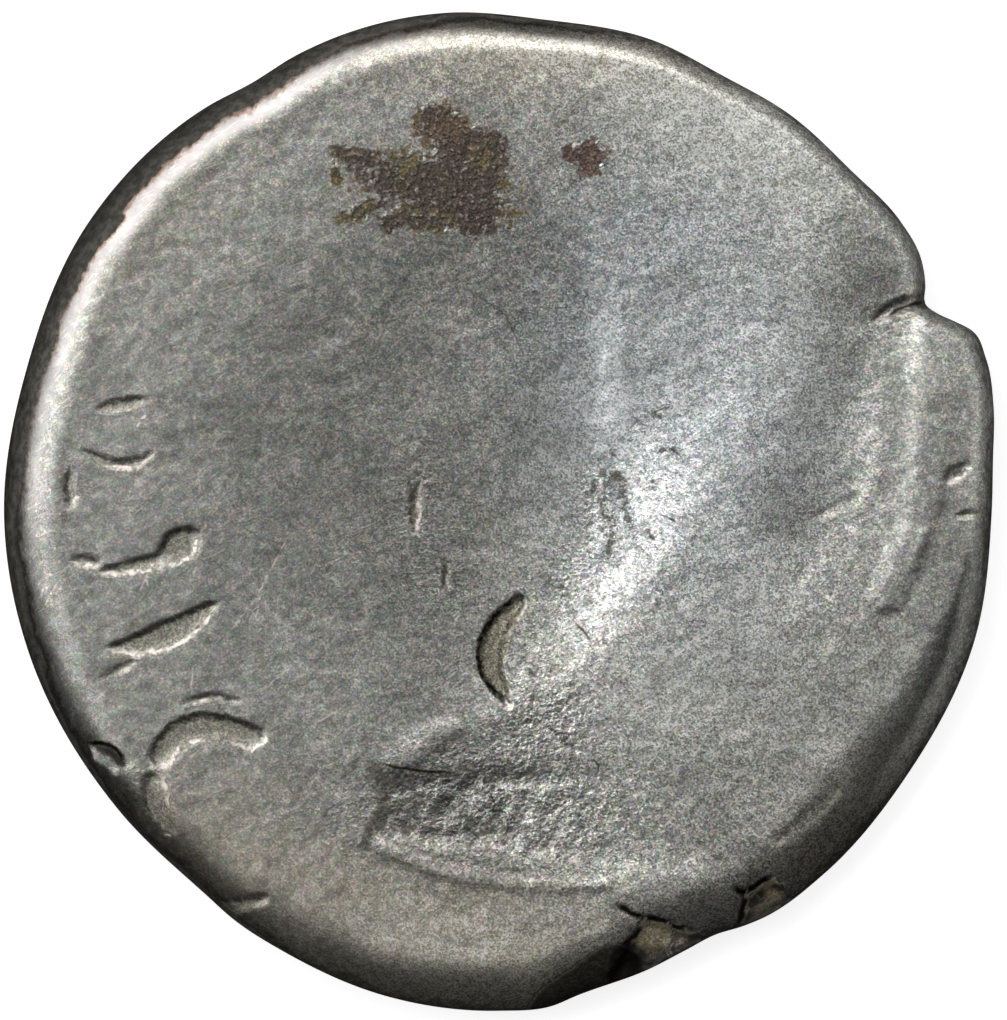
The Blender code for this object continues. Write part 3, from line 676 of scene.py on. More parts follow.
def top_points(cells):
    """The side that shows, down to the widest line of the edge, as a grid of points."""
    share, degrees = disc(cells)
    out, shoulder, line = edge_values(degrees)
    radius, left = rounded(share, out - shoulder, shoulder, COIN_THICKNESS * (1 - EDGE_LINE))
    left = np.where(share >= 1, 0.0, left)
    half = COIN_WIDTH / 2
    x, y = radius * np.cos(np.radians(degrees)), radius * np.sin(np.radians(degrees))
    plain = top_relief(x / half, y / half)
    level = COIN_THICKNESS - plain.max()
    flat = np.stack([x, y, line + (level - line) * left], axis=-1)
    fine = COARSE_PITTING * layers(flat, COARSE_PITCH, 11) + FINE_PITTING * layers(flat, FINE_PITCH, 23)
    fine += ROUGH_BLOCK * in_block(x / half, y / half) * layers(flat, BLOCK_PITCH, 31, 2)
    for path, width, strength in CRACKS[:CRACKS_CUT_IN]:
        away, along, _ = from_line(x / half, y / half, path, 2 * width)
        ends = smooth_step(4 * along + 0.2) * smooth_step(4 * (1 - along) + 0.2)
        fine -= CRACK_DEPTH * strength * ends * (1 - smooth_step(away / (1.5 * width)))
    z = line + (level + plain + fine - line) * left
    for index, (corners, outer, inner) in enumerate(FLAKES):
        rough = ROUGH_FLAKE * layers(flat, FLAKE_PITCH, 61) * (index < DARK_FLAKES)
        cover = smooth_step(inside_corners(x / half, y / half, corners) / FLAKE_WALL)
        inwards = smooth_step((out - radius) / (FLAKE_REACH * half))
        floor = line + (level - line) * (outer + (inner - outer) * inwards) + rough
        at_edge = np.clip((1 - share) / 0.02, 0, 1)
        z += (line + (floor - line) * at_edge - z) * cover
    return np.stack([x, y, z], axis=-1)


def under_points(cells):
    """The underside, from just below the widest line of the edge, as a grid of points."""
    share, degrees = disc(cells)
    out, _, line = edge_values(degrees)
    inner = out - UNDER_SHOULDER
    radius, left = rounded(share, inner, UNDER_SHOULDER, COIN_THICKNESS * EDGE_LINE, UNDER_START)
    half = COIN_WIDTH / 2
    x, y = radius * np.cos(np.radians(degrees)), radius * np.sin(np.radians(degrees))
    z = line + (under_relief(x / half, y / half) - line) * left
    return np.stack([x, y, z], axis=-1)


def rim_of(cells, first=0):
    """The grid's outer points in order, anticlockwise from its lower left corner."""
    index = first + np.arange((cells + 1) ** 2).reshape(cells + 1, cells + 1)
    return np.concatenate([index[0, :-1], index[:-1, -1], index[-1, :0:-1], index[:0:-1, 0]])


def squares(cells, first=0):
    """The grid's squares, facing up."""
    index = first + np.arange((cells + 1) ** 2).reshape(cells + 1, cells + 1)
    corners = index[:-1, :-1], index[:-1, 1:], index[1:, 1:], index[1:, :-1]
    return np.stack(corners, axis=-1).reshape(-1, 4)


def coin_faces():
    """Both sides' squares, and a fan of triangles between their rims for each coarse step of the edge."""
    first = (TOP_CELLS + 1) ** 2
    upper, lower = rim_of(TOP_CELLS), rim_of(UNDER_CELLS, first)
    here, after = lower, np.roll(lower, -1)
    fine = [np.roll(upper, -k)[::RIM_STEPS] for k in range(RIM_STEPS + 1)]
    turn = RIM_STEPS // 2
    band = [np.stack([here, fine[k + 1], fine[k]], axis=-1) for k in range(turn + 1)]
    band.append(np.stack([here, after, fine[turn + 1]], axis=-1))
    band += [np.stack([after, fine[k + 1], fine[k]], axis=-1) for k in range(turn + 1, RIM_STEPS)]
    band = np.concatenate(band)
    return squares(TOP_CELLS).tolist() + squares(UNDER_CELLS, first)[:, ::-1].tolist() + band.tolist()


def fitted(points, box):
    """The points moved and scaled by a hair, so that their box is the given one."""
    low, high = points.min(0), points.max(0)
    goal_low, goal_high = np.array(box[0]), np.array(box[1])
    return goal_low + (points - low) * (goal_high - goal_low) / (high - low)


def crust_mask(x, y, place):
    """How near each place is to the brown crust: 0 far off, 0.5 at its edge, more inside."""
    near = np.full_like(x, -1.0)
    for middle, half_lengths, turn, strength in CRUST_BLOTS:
        u, v = own_axes(x, y, middle, half_lengths, turn)
        near = np.maximum(near, 1 - 0.5 * np.hypot(u, v) / strength)
    return np.clip(near + 0.12 * layers(place, CRUST_PITCH, 41), 0, 1)


def flake_depth(x, y):
    """How far inside the nearer of the two dark flakes each place is, in half-widths, negative outside."""
    inner = np.full_like(x, -0.05)
    for corners, _, _ in FLAKES[:DARK_FLAKES]:
        inner = np.maximum(inner, inside_corners(x, y, corners))
    return inner


def dirt_mask(x, y, place):
    """Where dirt and dull stains lie, 0 to 1."""
    dirt = np.zeros_like(x)
    for path, width, strength in STAINS:
        away, _, _ = from_line(x, y, path, width)
        dirt = np.maximum(dirt, strength * (1 - smooth_step(away / (width / 2))))
    return np.clip(dirt * (0.9 + 0.5 * layers(place, DIRT_PITCH, 57)), 0, 1)


def stroke_edges(x, y):
    """For the nearest stroke: how far each place lies inside its left and its right edge, in millimetres,
    and how marked the stroke is there, fading at its ends. All change evenly, so that the material can draw
    sharp lines from them."""
    nearest, marked = np.full_like(x, 3.0), np.zeros_like(x)
    left_gap, right_gap = np.full_like(x, -1.0), np.full_like(x, -1.0)
    to_mm = COIN_WIDTH / 2 / MM
    for path, widths, share in SUNK_STROKES:
        away, along, side = from_line(x, y, through(path, np.linspace(0, 1, 15)), 0.02 + 1.2 * max(widths))
        half = through(widths, along.ravel()).reshape(x.shape) / 2
        nearer = (away < 8) & (away / half < nearest)
        ends = smooth_step(9 * along + 0.55) * smooth_step(9 * (1 - along) + 0.55)
        fade = (0.55 + 0.7 * share) * ends * smooth_step((half + 0.016 - away) / 0.008)
        fade = fade * (1 - 0.65 * smooth_step((x - 0.55) / 0.05))
        nearest[nearer], marked[nearer] = (away / half)[nearer], fade[nearer]
        left_gap[nearer] = (half - side * away)[nearer] * to_mm
        right_gap[nearer] = (half + side * away)[nearer] * to_mm
    return left_gap, right_gap, marked


def line_marks(x, y):
    """For the nearest thin line: how far across it each place lies, in its half-widths, and how marked it
    is there, above 0 for a bright cut and below 0 for a dark crack."""
    across, marked = np.full_like(x, 40.0), np.zeros_like(x)
    lines = [((start, end), width, 1.0) for start, end, width in CUTS]
    lines += [(path, width, -strength) for path, width, strength in CRACKS]
    for path, width, strength in lines:
        away, along, side = from_line(x, y, path, 0.022 + width)
        here = side * away / (width / 2)
        nearer = (away < 8) & (np.abs(here) < np.abs(across))
        ends = smooth_step(5 * along + 0.1) * smooth_step(5 * (1 - along) + 0.1)
        across[nearer] = here[nearer]
        marked[nearer] = (strength * ends * smooth_step((0.021 + width - away) / 0.008))[nearer]
    return across, marked


def set_mask(mesh, name, values):
    """A value at every point of the mesh, under a name that the material reads."""
    mesh.attributes.new(name, "FLOAT", "POINT").data.foreach_set("value", values.astype(np.float32))


def roughness_mask(x, y, crust):
    """How crumpled the metal is: in the crust, on the chips' floors and round the worn middle."""
    rough = CRUST_ROUGH * smooth_step((crust - 0.40) / 0.2)
    rough = np.maximum(rough, CHIP_ROUGH * smooth_step(flake_depth(x, y) / 0.01))
    return np.maximum(rough, CRUMPLED_ROUGH * np.clip(blots(x, y, CRUMPLED), 0, 1))


def edge_gap_mask(x, y, degrees, out, radius):
    """Millimetres in from the dark outer edge, less along the slope beside the first chip, painted black as
    shade.
    """
    gap = (out - radius) / MM - around(DARK_EDGE, degrees)
    away, _, _ = from_line(x, y, PAINTED_SHADE_SLOPE, 0.08)
    return gap - smooth_step((0.085 - away) / 0.06) * smooth_step((0.9 - gap) / 0.4)


def mark_coin(mesh, points):
    """Lays every mask on the coin's mesh. Most of them stop at the widest line of the edge."""
    x, y = points[:, 0] / (COIN_WIDTH / 2), points[:, 1] / (COIN_WIDTH / 2)
    radius = np.hypot(points[:, 0], points[:, 1])
    degrees = np.degrees(np.arctan2(y, x)) % 360.0
    shows = points[:, 2] > (EDGE_LINE + 0.06) * COIN_THICKNESS
    out, _, line = edge_values(degrees)
    crust = crust_mask(x, y, points)
    left_gap, right_gap, in_stroke = stroke_edges(x, y)
    across, on_line = line_marks(x, y)
    grainy = 0.35 + 0.50 * smooth_step((x + 0.85) / 1.3) - 0.28 * smooth_step((x - 0.68) / 0.2)
    set_mask(mesh, "crust", crust * shows)
    set_mask(mesh, "maroon", np.clip(blots(x, y, CRUST_MAROON), 0, 1))
    set_mask(mesh, "flake depth", np.where(points[:, 2] > line - 0.02 * MM, flake_depth(x, y), -0.05))
    set_mask(mesh, "dirt", dirt_mask(x, y, points) * shows)
    set_mask(mesh, "left gap", left_gap)
    set_mask(mesh, "right gap", right_gap)
    set_mask(mesh, "stroke mark", in_stroke * shows)
    set_mask(mesh, "line across", across)
    set_mask(mesh, "line mark", on_line * shows)
    set_mask(mesh, "rough", roughness_mask(x, y, crust) * shows)
    set_mask(mesh, "polish_highlight", np.clip(blots(x, y, POLISHED_HIGHLIGHT), 0, 1) * shows)
    set_mask(mesh, "warmth", 0.5 + 0.5 * np.clip(blots(x, y, WARMTH), -1, 1))
    # The shade mask: brighter and darker parts, partly tone and partly painted light and shade
    set_mask(mesh, "shade", 1 + blots(x, y, TONE_AND_PAINTED_LIGHT) * shows)
    set_mask(mesh, "grainy", grainy)
    set_mask(mesh, "edge gap", edge_gap_mask(x, y, degrees, out, radius))
    set_mask(mesh, "rim lit", np.clip(around(PAINTED_RIM_HIGHLIGHT, degrees), 0, 1) * shows)
    set_mask(mesh, "edge soft", np.clip(around(SOFT_EDGE, degrees), 0, 1) * shows)


def build_coin():
    """The whole coin as one closed mesh, fitted to the solid's box."""
    top = top_points(TOP_CELLS).reshape(-1, 3)
    under = under_points(UNDER_CELLS).reshape(-1, 3)
    points = np.concatenate([top, under])
    mesh = bpy.data.meshes.new("worn coin")
    mesh.from_pydata(fitted(points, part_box("coin")).tolist(), [], coin_faces())
    mesh.shade_smooth()
    mark_coin(mesh, points)
    coin = bpy.data.objects.new("worn_coin", mesh)
    bpy.context.scene.collection.objects.link(coin)
    return coin


def put(tree, kind, settings=None, **inputs):
    """A node with its settings, and its inputs set to values or joined to other nodes' sockets."""
    made = tree.nodes.new(kind)
    for name, value in (settings or {}).items():
        setattr(made, name, value)
    for name, value in inputs.items():
        key = int(name[1:]) if name[0] == "_" else name.replace("_", " ")
        if isinstance(value, bpy.types.NodeSocket):
            tree.links.new(value, made.inputs[key])
        else:
            made.inputs[key].default_value = value
    return made


def maths(tree, operation, a, b=0.0, c=0.0, clamp=False):
    settings = {"operation": operation, "use_clamp": clamp}
    return put(tree, "ShaderNodeMath", settings, _0=a, _1=b, _2=c).outputs[0]


def times(tree, first, *others):
    """Values multiplied together."""
    for other in others:
        first = maths(tree, "MULTIPLY", first, other)
    return first


def greatest(tree, first, *others, clamp=False):
    """The greatest of several values."""
    for other in others:
        first = maths(tree, "MAXIMUM", first, other, clamp=clamp)
    return first


def stray(tree, value, by, amount):
    """A value with so much of another added."""
    return maths(tree, "MULTIPLY_ADD", by, amount, value)


def distance(tree, value, middle=0.0):
    """How far a value is from a middle one, either way."""
    return maths(tree, "ABSOLUTE", maths(tree, "SUBTRACT", value, middle))


def ramp(tree, value, low, high, low_out=0.0, high_out=1.0):
    """A value taken smoothly from one range to another."""
    made = put(tree, "ShaderNodeMapRange", {"interpolation_type": "SMOOTHSTEP"}, Value=value)
    made.inputs["From Min"].default_value = low
    made.inputs["From Max"].default_value = high
    made.inputs["To Min"].default_value = low_out
    made.inputs["To Max"].default_value = high_out
    return made.outputs[0]


def falling(tree, value, low, high, start=1.0):
    """What falls smoothly from its start to 0 as a value goes from low to high."""
    return ramp(tree, value, low, high, start, 0.0)


def blend(tree, share, first, second, how="MIX"):
    made = put(tree, "ShaderNodeMix", {"data_type": "RGBA", "blend_type": how})
    for index, value in ((0, share), (6, first), (7, second)):
        if isinstance(value, bpy.types.NodeSocket):
            tree.links.new(value, made.inputs[index])
        else:
            made.inputs[index].default_value = value
    return made.outputs[2]


def mask(tree, name):
    return put(tree, "ShaderNodeAttribute", {"attribute_name": name}).outputs["Fac"]


def cloud(tree, place, scale, detail):
    """Cloudy values about 0.5 that change over the coin's face."""
    flat = {"noise_dimensions": "2D"}
    made = put(tree, "ShaderNodeTexNoise", flat, Vector=place, Scale=scale, Detail=detail, Roughness=0.6)
    return made.outputs["Fac"]


def new_group(name, inputs, outputs):
    """An empty shader group with named sockets. Gives the group, its input node and its output node."""
    group = bpy.data.node_groups.new(name, "ShaderNodeTree")
    for label, kind, value in inputs:
        socket = group.interface.new_socket(label, in_out="INPUT", socket_type=kind)
        if value is not None:
            socket.default_value = value
    for label, kind in outputs:
        group.interface.new_socket(label, in_out="OUTPUT", socket_type=kind)
    return group, group.nodes.new("NodeGroupInput"), group.nodes.new("NodeGroupOutput")


def use_group(tree, group, **inputs):
    made = tree.nodes.new("ShaderNodeGroup")
    made.node_tree = group
    for name, value in inputs.items():
        if isinstance(value, bpy.types.NodeSocket):
            tree.links.new(value, made.inputs[name])
        else:
            made.inputs[name].default_value = value
    return made.outputs


def grain_group():
    """Struck and corroded silver close up: small facets of random brightness, more of them dull than
    bright, with finer ones over them. Each has its own faint tint, and a height that dips at its middle."""
    group, given, made = new_group(
        "silver grain",
        (("Place", "NodeSocketVector", None), ("Pitch", "NodeSocketFloat", GRAIN_PITCH)),
        (("Facet", "NodeSocketFloat"), ("Height", "NodeSocketFloat"), ("Tint", "NodeSocketColor")),
    )
    scale = maths(group, "DIVIDE", 1.0, given.outputs["Pitch"])
    flat = {"voronoi_dimensions": "2D"}
    cells = put(group, "ShaderNodeTexVoronoi", flat, Vector=given.outputs["Place"], Scale=scale)
    random = put(group, "ShaderNodeSeparateColor", Color=cells.outputs["Color"]).outputs[0]
    scale = maths(group, "MULTIPLY", scale, 1.7)
    finer = put(group, "ShaderNodeTexVoronoi", flat, Vector=given.outputs["Place"], Scale=scale)
    other = put(group, "ShaderNodeSeparateColor", Color=finer.outputs["Color"]).outputs[0]
    facet = stray(group, times(group, other, 0.38), maths(group, "POWER", random, 2.0), 0.62)
    group.links.new(facet, made.inputs["Facet"])
    group.links.new(cells.outputs["Distance"], made.inputs["Height"])
    group.links.new(cells.outputs["Color"], made.inputs["Tint"])
    return group


def hairline_group():
    """Short straight scratches one way: noise drawn out along them, kept only where it is highest."""
    group, given, made = new_group(
        "hairlines",
        (
            ("Place", "NodeSocketVector", None),
            ("Turn", "NodeSocketFloat", 0.0),
            ("Length", "NodeSocketFloat", MM),
            ("Width", "NodeSocketFloat", MM),
            ("Threshold", "NodeSocketFloat", 0.5),
        ),
        (("Line", "NodeSocketFloat"),),
    )
    turned = put(
        group, "ShaderNodeVectorRotate", {"rotation_type": "Z_AXIS"},
        Vector=given.outputs["Place"], Angle=given.outputs["Turn"],
    )  # fmt: skip
    split = put(group, "ShaderNodeSeparateXYZ", Vector=turned.outputs[0])
    along = maths(group, "DIVIDE", split.outputs[0], given.outputs["Length"])
    across = maths(group, "DIVIDE", split.outputs[1], given.outputs["Width"])
    drawn = put(group, "ShaderNodeCombineXYZ", X=along, Y=across)
    flat = {"noise_dimensions": "2D"}
    noise = put(group, "ShaderNodeTexNoise", flat, Vector=drawn.outputs[0], Scale=1.0, Detail=0.0)
    above = maths(group, "SUBTRACT", noise.outputs["Fac"], given.outputs["Threshold"])
    line = maths(group, "MULTIPLY", above, 14.0, clamp=True)
    group.links.new(line, made.inputs["Line"])
    return group


def shared_wear(tree):
    """What most of the looks share: the place on the coin, clouds of three sizes and the grain. Places
    spread outwards as they go down, so that nothing is drawn out down the coin's side."""
    place = put(tree, "ShaderNodeTexCoord").outputs["Object"]
    height = put(tree, "ShaderNodeSeparateXYZ", Vector=place).outputs[2]
    spread = maths(tree, "MULTIPLY_ADD", height, -2 / COIN_WIDTH, 1 + 2 * COIN_THICKNESS / COIN_WIDTH)
    place = put(tree, "ShaderNodeVectorMath", {"operation": "SCALE"}, Vector=place, Scale=spread).outputs[0]
    grain = grain_group()
    fine = use_group(tree, grain, Place=place, Pitch=GRAIN_PITCH)
    middling = cloud(tree, place, *MIDDLING_CLOUDS)
    return SimpleNamespace(
        place=place,
        fine=fine,
        coarse=use_group(tree, grain, Place=place, Pitch=SPARK_PITCH),
        grainy=mask(tree, "grainy"),
        speckle=maths(tree, "MULTIPLY_ADD", fine["Facet"], GRAIN_SPAN, GRAIN_LOW),
        mottled=maths(tree, "MULTIPLY_ADD", fine["Facet"], MOTTLE_SPAN, MOTTLE_LOW),
        broad=cloud(tree, place, *WIDE_CLOUDS),
        middling=middling,
        lumpy=cloud(tree, place, *SMALL_CLOUDS),
        uneven=maths(tree, "SUBTRACT", middling, 0.5),
    )


def edge_wear(tree, wear):
    """The coin's edge. It is toned dark and darkened further with painted shade, with a sharp border where
    the rim is lit and a soft one elsewhere. The lit rim has a painted white highlight with a red fringe, and
    painted shade darkens the metal just inside it a little. One slope is painted black as shade, and part of
    the rounded edge is dull."""
    gap = stray(tree, maths(tree, "MULTIPLY_ADD", wear.broad, 0.30, -0.15), wear.uneven, 0.14)
    gap = maths(tree, "ADD", mask(tree, "edge gap"), gap)
    lit = mask(tree, "rim lit")
    sharp, soft = falling(tree, gap, *TONE_AND_SHADE_SHARP), falling(tree, gap, *TONE_AND_SHADE_SOFT)
    return SimpleNamespace(
        gap=gap,
        lit=lit,
        toning_and_shade=maths(tree, "MULTIPLY_ADD", maths(tree, "SUBTRACT", sharp, soft), lit, soft),
        rim=times(tree, ramp(tree, gap, *RIM_START), falling(tree, gap, *RIM_END), lit),
        fringe=times(tree, falling(tree, distance(tree, gap), *HIGHLIGHT_FRINGE, 0.55), lit),
        shade_inside_rim=times(tree, ramp(tree, gap, *RIM_END), falling(tree, gap, *SHADE_INSIDE_RIM_END), lit),
        shaded=maths(tree, "SUBTRACT", falling(tree, gap, *SHADED_END), lit, clamp=True),
        dull=times(tree, mask(tree, "edge soft"), falling(tree, gap, *SOFT_END)),
    )


def line_wear(tree, wear):
    """Short scratches, fine creases and painted glints all over, the cuts, painted bright as highlights,
    which are ragged and broken up, and the dark cracks."""
    hairlines = hairline_group()
    scratches = [
        use_group(tree, hairlines, Place=wear.place, Turn=turn, Length=length, Width=width, Threshold=rare)
        for turn, length, width, rare in HAIRLINES
    ]
    marked, across = mask(tree, "line mark"), mask(tree, "line across")
    ragged = distance(tree, stray(tree, across, wear.uneven, 3.5))
    wavering = distance(tree, stray(tree, across, wear.uneven, 1.4))
    broken_up = ramp(tree, wear.lumpy, 0.40, 0.56, 0.15, 1.0)
    bright = maths(tree, "MAXIMUM", marked, 0.0)
    dark = maths(tree, "MAXIMUM", times(tree, marked, -1.0), 0.0)
    creases = falling(tree, distance(tree, wear.uneven), 0.0, 0.022)
    facets, dips = wear.coarse["Facet"], wear.coarse["Height"]
    painted_glints = times(tree, ramp(tree, facets, 0.72, 0.80), falling(tree, dips, 0.15, 0.40))
    return SimpleNamespace(
        scratches=greatest(tree, *(made["Line"] for made in scratches)),
        creases=times(tree, creases, wear.grainy, ramp(tree, wear.broad, 0.42, 0.60)),
        painted_glints=times(tree, painted_glints, ramp(tree, wear.grainy, 0.40, 0.75, 0.60, 0.12)),
        cuts=times(tree, falling(tree, ragged, 0.3, 1.5), broken_up, bright),
        cracks=times(tree, falling(tree, wavering, 0.3, 1.5), dark),
    )


def stroke_wear(tree, wear):
    """In the sunk strokes: the steep wall, painted dark as shade, the dirty floor, and the gentle wall, with
    painted highlights here and there.
    """
    marked = mask(tree, "stroke mark")
    wander = stray(tree, maths(tree, "MULTIPLY_ADD", wear.lumpy, 0.08, -0.04), wear.uneven, 0.16)
    left_gap = maths(tree, "ADD", mask(tree, "left gap"), wander)
    right_gap = maths(tree, "ADD", mask(tree, "right gap"), wander)
    # The steep wall is painted dark as shade, and the gentle wall gets painted highlights
    steep = falling(tree, distance(tree, left_gap, 0.040), 0.008, 0.070)
    gentle = falling(tree, distance(tree, right_gap, 0.040), 0.010, 0.065)
    lit = times(tree, ramp(tree, wear.broad, 0.47, 0.55), ramp(tree, wear.lumpy, 0.38, 0.50, 0.5, 1.2))
    within = times(tree, ramp(tree, left_gap, 0.0, 0.04), ramp(tree, right_gap, -0.06, 0.0))
    return SimpleNamespace(
        steep=times(tree, steep, marked, ramp(tree, wear.lumpy, 0.35, 0.55, 0.7, 1.0)),
        floors=times(tree, within, maths(tree, "MULTIPLY", marked, 0.80, clamp=True)),
        gentle=times(tree, gentle, marked, lit),
    )


def cover_wear(tree, wear):
    """What covers the silver: dirt in specks, brown crust, and the broken floors of the chips."""
    dirt, crust, depth = (mask(tree, name) for name in ("dirt", "crust", "flake depth"))
    specked = ramp(tree, stray(tree, dirt, wear.uneven, 2.2), 0.15, 0.68, 0.0, 0.80)
    rusty = ramp(tree, stray(tree, crust, wear.uneven, 0.9), 0.30, 0.62, 0.0, 0.92)
    return SimpleNamespace(
        specked=times(tree, specked, ramp(tree, dirt, 0.0, 0.3)),
        rusty=times(tree, rusty, ramp(tree, crust, 0.10, 0.34)),
        flaked=ramp(tree, stray(tree, depth, wear.uneven, 0.02), -0.002, 0.002),
    )


def silver_colour(tree, wear, edge, lines):
    """Bare silver: cooler or warmer, brighter or darker in parts, partly as painted light and shade, grained,
    scratched, and worn white with a painted highlight, with a painted white highlight on the lit rim, painted
    shade just inside it, and painted glints.
    """
    warmth = mask(tree, "warmth")
    polish_highlight = stray(tree, mask(tree, "polish_highlight"), wear.uneven, 2.6)
    polish_highlight = ramp(tree, maths(tree, "ADD", polish_highlight, maths(tree, "SUBTRACT", wear.broad, 0.5)), 0.55, 0.80)
    # Brighter and darker parts: partly tone, partly painted light and shade
    patches = times(tree, mask(tree, "shade"), ramp(tree, wear.middling, 0.30, 0.70, 0.76, 1.08))
    # Painted shade darkens the metal just inside the lit rim
    patches = times(tree, patches, maths(tree, "MULTIPLY_ADD", edge.shade_inside_rim, -0.16, 1.0))
    grain_share = times(tree, wear.grainy, maths(tree, "MULTIPLY_ADD", edge.rim, -0.55, 1.0))
    colour = blend(tree, ramp(tree, warmth, 0.0, 0.5), SILVER_COOL, SILVER_PLAIN)
    colour = blend(tree, ramp(tree, warmth, 0.5, 1.0), colour, SILVER_WARM)
    colour = blend(tree, 1.0, colour, patches, "MULTIPLY")
    colour = blend(tree, 0.08, colour, wear.fine["Tint"], "OVERLAY")
    colour = blend(tree, 0.07, colour, wear.coarse["Tint"], "OVERLAY")
    # Painted highlight whitens the worn wall of the dish
    colour = blend(tree, times(tree, polish_highlight, 0.30), colour, SILVER_HIGHLIGHT_WHITE)
    grained = blend(tree, 1.0, colour, wear.speckle, "MULTIPLY")
    colour = blend(tree, grain_share, colour, grained)
    # Painted white highlight on the lit rim, with less grain
    colour = blend(tree, times(tree, edge.rim, 0.8), colour, RIM_HIGHLIGHT_WHITE)
    colour = blend(tree, times(tree, lines.creases, 0.40), colour, CREASE_DARK)
    colour = blend(tree, times(tree, lines.scratches, 0.32), colour, SILVER_BRIGHT)
    # Painted glints: small bright specks over the grain
    return blend(tree, lines.painted_glints, colour, SILVER_PAINTED_GLINT)


def crust_colour(tree, wear):
    """Brown crust: olive to brown, ochre in places, maroon in others, with painted glints."""
    ochre = times(tree, ramp(tree, wear.broad, 0.44, 0.54, 0.9, 0.1), ramp(tree, wear.middling, 0.42, 0.60))
    colour = blend(tree, ramp(tree, wear.broad, 0.40, 0.60), CRUST_OLIVE, CRUST_BROWN)
    colour = blend(tree, ochre, colour, CRUST_OCHRE)
    colour = blend(tree, times(tree, mask(tree, "maroon"), 0.8), colour, CRUST_RED)
    # Painted glints in the crust
    colour = blend(tree, ramp(tree, wear.lumpy, 0.58, 0.72, 0.0, 0.6), colour, CRUST_PAINTED_GLINT)
    return blend(tree, 1.0, colour, wear.mottled, "MULTIPLY")


def chip_colour(tree, wear, edge):
    """Broken metal: pale brown, and dark towards the coin's edge and in patches."""
    dark = greatest(tree, ramp(tree, wear.broad, 0.54, 0.68), falling(tree, edge.gap, 0.0, 0.34))
    colour = blend(tree, dark, FLAKE_PALE, FLAKE_DARK)
    return blend(tree, 1.0, colour, wear.mottled, "MULTIPLY")


def edge_tone_and_shade_colour(tree, wear, edge):
    """The toned edge with painted shade: brown where the rim is lit, painted nearly black as shade elsewhere,
    darker outwards.
    """
    colour = blend(tree, ramp(tree, edge.lit, 0.0, 0.6), EDGE_SHADE_BLACK, EDGE_BROWN)
    colour = blend(tree, 1.0, colour, ramp(tree, wear.middling, 0.30, 0.70, 0.6, 1.4), "MULTIPLY")
    return blend(tree, 1.0, colour, ramp(tree, edge.gap, -0.42, -0.08, 0.45, 1.35), "MULTIPLY")


def old_silver():
    """Worn silver: grey and satin, grained and scratched, toned dark down the edge with painted shade there
    too, with dirt and crust, and with painted highlights and glints.
    """
    material = bpy.data.materials.new("old_silver")
    material.use_nodes = True
    tree = material.node_tree
    shader = tree.nodes["Principled BSDF"]
    wear = shared_wear(tree)
    edge, lines = edge_wear(tree, wear), line_wear(tree, wear)
    strokes, cover = stroke_wear(tree, wear), cover_wear(tree, wear)

    # Painted highlights: the strokes' gentle walls and the cuts
    lit_lines = greatest(tree, strokes.gentle, lines.cuts, clamp=True)
    # Painted shade on the strokes' steep walls, with the dark cracks
    shade_and_crack_lines = greatest(tree, strokes.steep, lines.cracks, clamp=True)
    chipped = times(tree, cover.flaked, maths(tree, "SUBTRACT", 1.0, lines.cracks, clamp=True))
    colour = silver_colour(tree, wear, edge, lines)
    colour = blend(tree, cover.specked, colour, blend(tree, 1.0, DIRT_BROWN, wear.speckle, "MULTIPLY"))
    colour = blend(tree, strokes.floors, colour, blend(tree, 1.0, DIRT_OLIVE, wear.speckle, "MULTIPLY"))
    colour = blend(tree, lit_lines, colour, SILVER_BRIGHT)
    colour = blend(tree, shade_and_crack_lines, colour, SHADE_AND_CRACK_BLACK)
    colour = blend(tree, cover.rusty, colour, crust_colour(tree, wear))
    colour = blend(tree, chipped, colour, chip_colour(tree, wear, edge))
    # Toned edge, darkened with painted shade, nearly black where the rim is not lit
    colour = blend(tree, times(tree, edge.toning_and_shade, 0.97), colour, edge_tone_and_shade_colour(tree, wear, edge))
    # Painted red fringe along the outer border of the rim's highlight
    colour = blend(tree, edge.fringe, colour, RIM_HIGHLIGHT_RED)
    tree.links.new(colour, shader.inputs["Base Color"])

    toned = ramp(tree, edge.toning_and_shade, 0.65, 1.0, 0.0, 0.9)
    covered = times(tree, greatest(tree, cover.rusty, cover.specked, strokes.floors), 0.6)
    covered = greatest(tree, covered, cover.flaked, times(tree, edge.dull, 0.6), toned)
    bare = maths(tree, "SUBTRACT", 1.0, covered, clamp=True)
    tree.links.new(greatest(tree, bare, strokes.gentle, clamp=True), shader.inputs["Metallic"])
    roughness = stray(tree, ramp(tree, wear.broad, 0.3, 0.7, 0.32, 0.38), covered, 0.35)
    tree.links.new(roughness, shader.inputs["Roughness"])
    matt = greatest(tree, shade_and_crack_lines, edge.shaded, clamp=True)
    tree.links.new(maths(tree, "MULTIPLY_ADD", matt, -0.45, 0.5), shader.inputs["Specular IOR Level"])

    grained = put(tree, "ShaderNodeBump", Strength=1.0, Distance=GRAIN_HEIGHT, Height=wear.fine["Height"])
    lumps_here = times(tree, mask(tree, "rough"), maths(tree, "SUBTRACT", wear.lumpy, 0.5))
    crumpled = put(tree, "ShaderNodeBump", Strength=1.0, Distance=CRUMPLE_HEIGHT, Height=lumps_here)
    tree.links.new(grained.outputs[0], crumpled.inputs["Normal"])
    tree.links.new(crumpled.outputs[0], shader.inputs["Normal"])
    return material


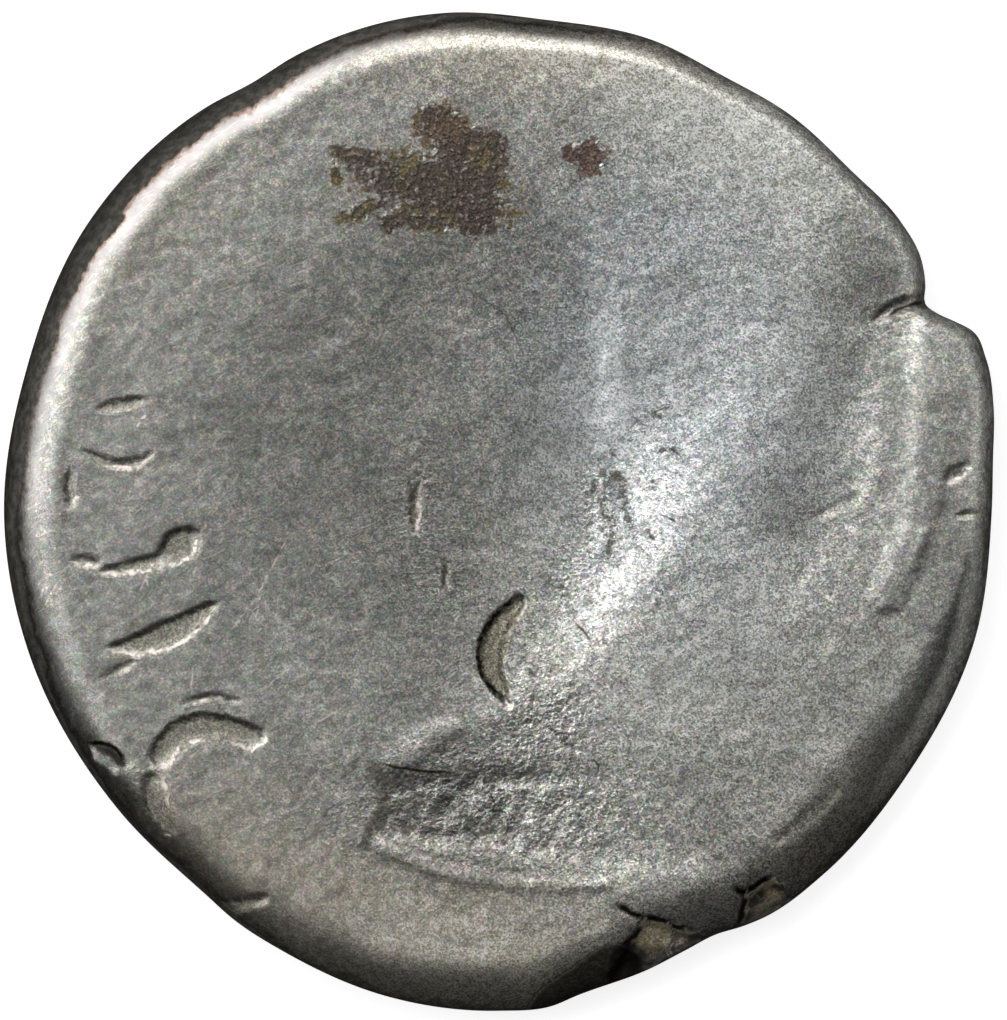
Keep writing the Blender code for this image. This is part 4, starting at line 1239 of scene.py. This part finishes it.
def build_floor():
    """A plain pale floor. The coin's metal sees it darker than the camera does, as in a dim studio."""
    floor_mesh = bpy.data.meshes.new("floor")
    s = FLOOR_SIZE / 2
    floor_mesh.from_pydata([(-s, -s, 0), (s, -s, 0), (s, s, 0), (-s, s, 0)], [], [(0, 1, 2, 3)])
    floor = bpy.data.objects.new("floor", floor_mesh)
    bpy.context.scene.collection.objects.link(floor)
    material = bpy.data.materials.new("pale floor")
    material.use_nodes = True
    tree = material.node_tree
    shader = tree.nodes["Principled BSDF"]
    shader.inputs["Roughness"].default_value = 0.9
    seen = put(tree, "ShaderNodeLightPath").outputs
    colour = blend(tree, seen["Is Glossy Ray"], FLOOR_PALE, FLOOR_IN_METAL)
    tree.links.new(colour, shader.inputs["Base Color"])
    shader.inputs["Emission Color"].default_value = (1.0, 1.0, 1.0, 1.0)
    glow = times(tree, seen["Is Camera Ray"], FLOOR_GLOW)
    tree.links.new(glow, shader.inputs["Emission Strength"])
    floor_mesh.materials.append(material)


def softbox(name, azimuth, off_vertical, away, size, brightness):
    """A flat rectangular light that looks at the coin, as bright all over as brightness says."""
    light = bpy.data.lights.new(name, "AREA")
    light.shape = "RECTANGLE"
    light.size, light.size_y = size
    light.energy = brightness * np.pi * size[0] * size[1]
    lamp = bpy.data.objects.new(name, light)
    across = np.sin(np.radians(off_vertical)) * away
    lamp.location = (
        across * np.cos(np.radians(azimuth)),
        across * np.sin(np.radians(azimuth)),
        np.cos(np.radians(off_vertical)) * away,
    )
    lamp.rotation_euler = (0.0, np.radians(off_vertical), np.radians(azimuth))
    bpy.context.scene.collection.objects.link(lamp)


def light_studio():
    """Soft lights from above in a dim room."""
    world = bpy.data.worlds.new("dim studio")
    world.use_nodes = True
    world.node_tree.nodes["Background"].inputs["Color"].default_value = (1.0, 1.0, 1.0, 1.0)
    world.node_tree.nodes["Background"].inputs["Strength"].default_value = WORLD_BRIGHTNESS
    bpy.context.scene.world = world
    for box in SOFTBOXES:
        softbox(*box)
    bpy.context.scene.view_settings.view_transform = "Standard"


def set_camera():
    """Straight above the coin, through a long lens, framed as the photograph is."""
    data = bpy.data.cameras.new("camera")
    data.sensor_fit = "VERTICAL"
    data.sensor_height = 24.0
    data.lens = data.sensor_height * CAMERA_DISTANCE / (PHOTO_HEIGHT / PIXELS_PER_METRE)
    data.clip_start = 0.01
    camera = bpy.data.objects.new("camera", data)
    camera.location = (
        (PHOTO_WIDTH / 2 - COIN_MIDDLE_PIXEL[0]) / PIXELS_PER_METRE,
        (COIN_MIDDLE_PIXEL[1] - PHOTO_HEIGHT / 2) / PIXELS_PER_METRE,
        CAMERA_DISTANCE + EDGE_LINE * COIN_THICKNESS,
    )
    bpy.context.scene.collection.objects.link(camera)
    bpy.context.scene.camera = camera


coin = build_coin()
coin.data.materials.append(old_silver())
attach(coin, "root")
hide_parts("coin")
build_floor()
light_studio()
set_camera()
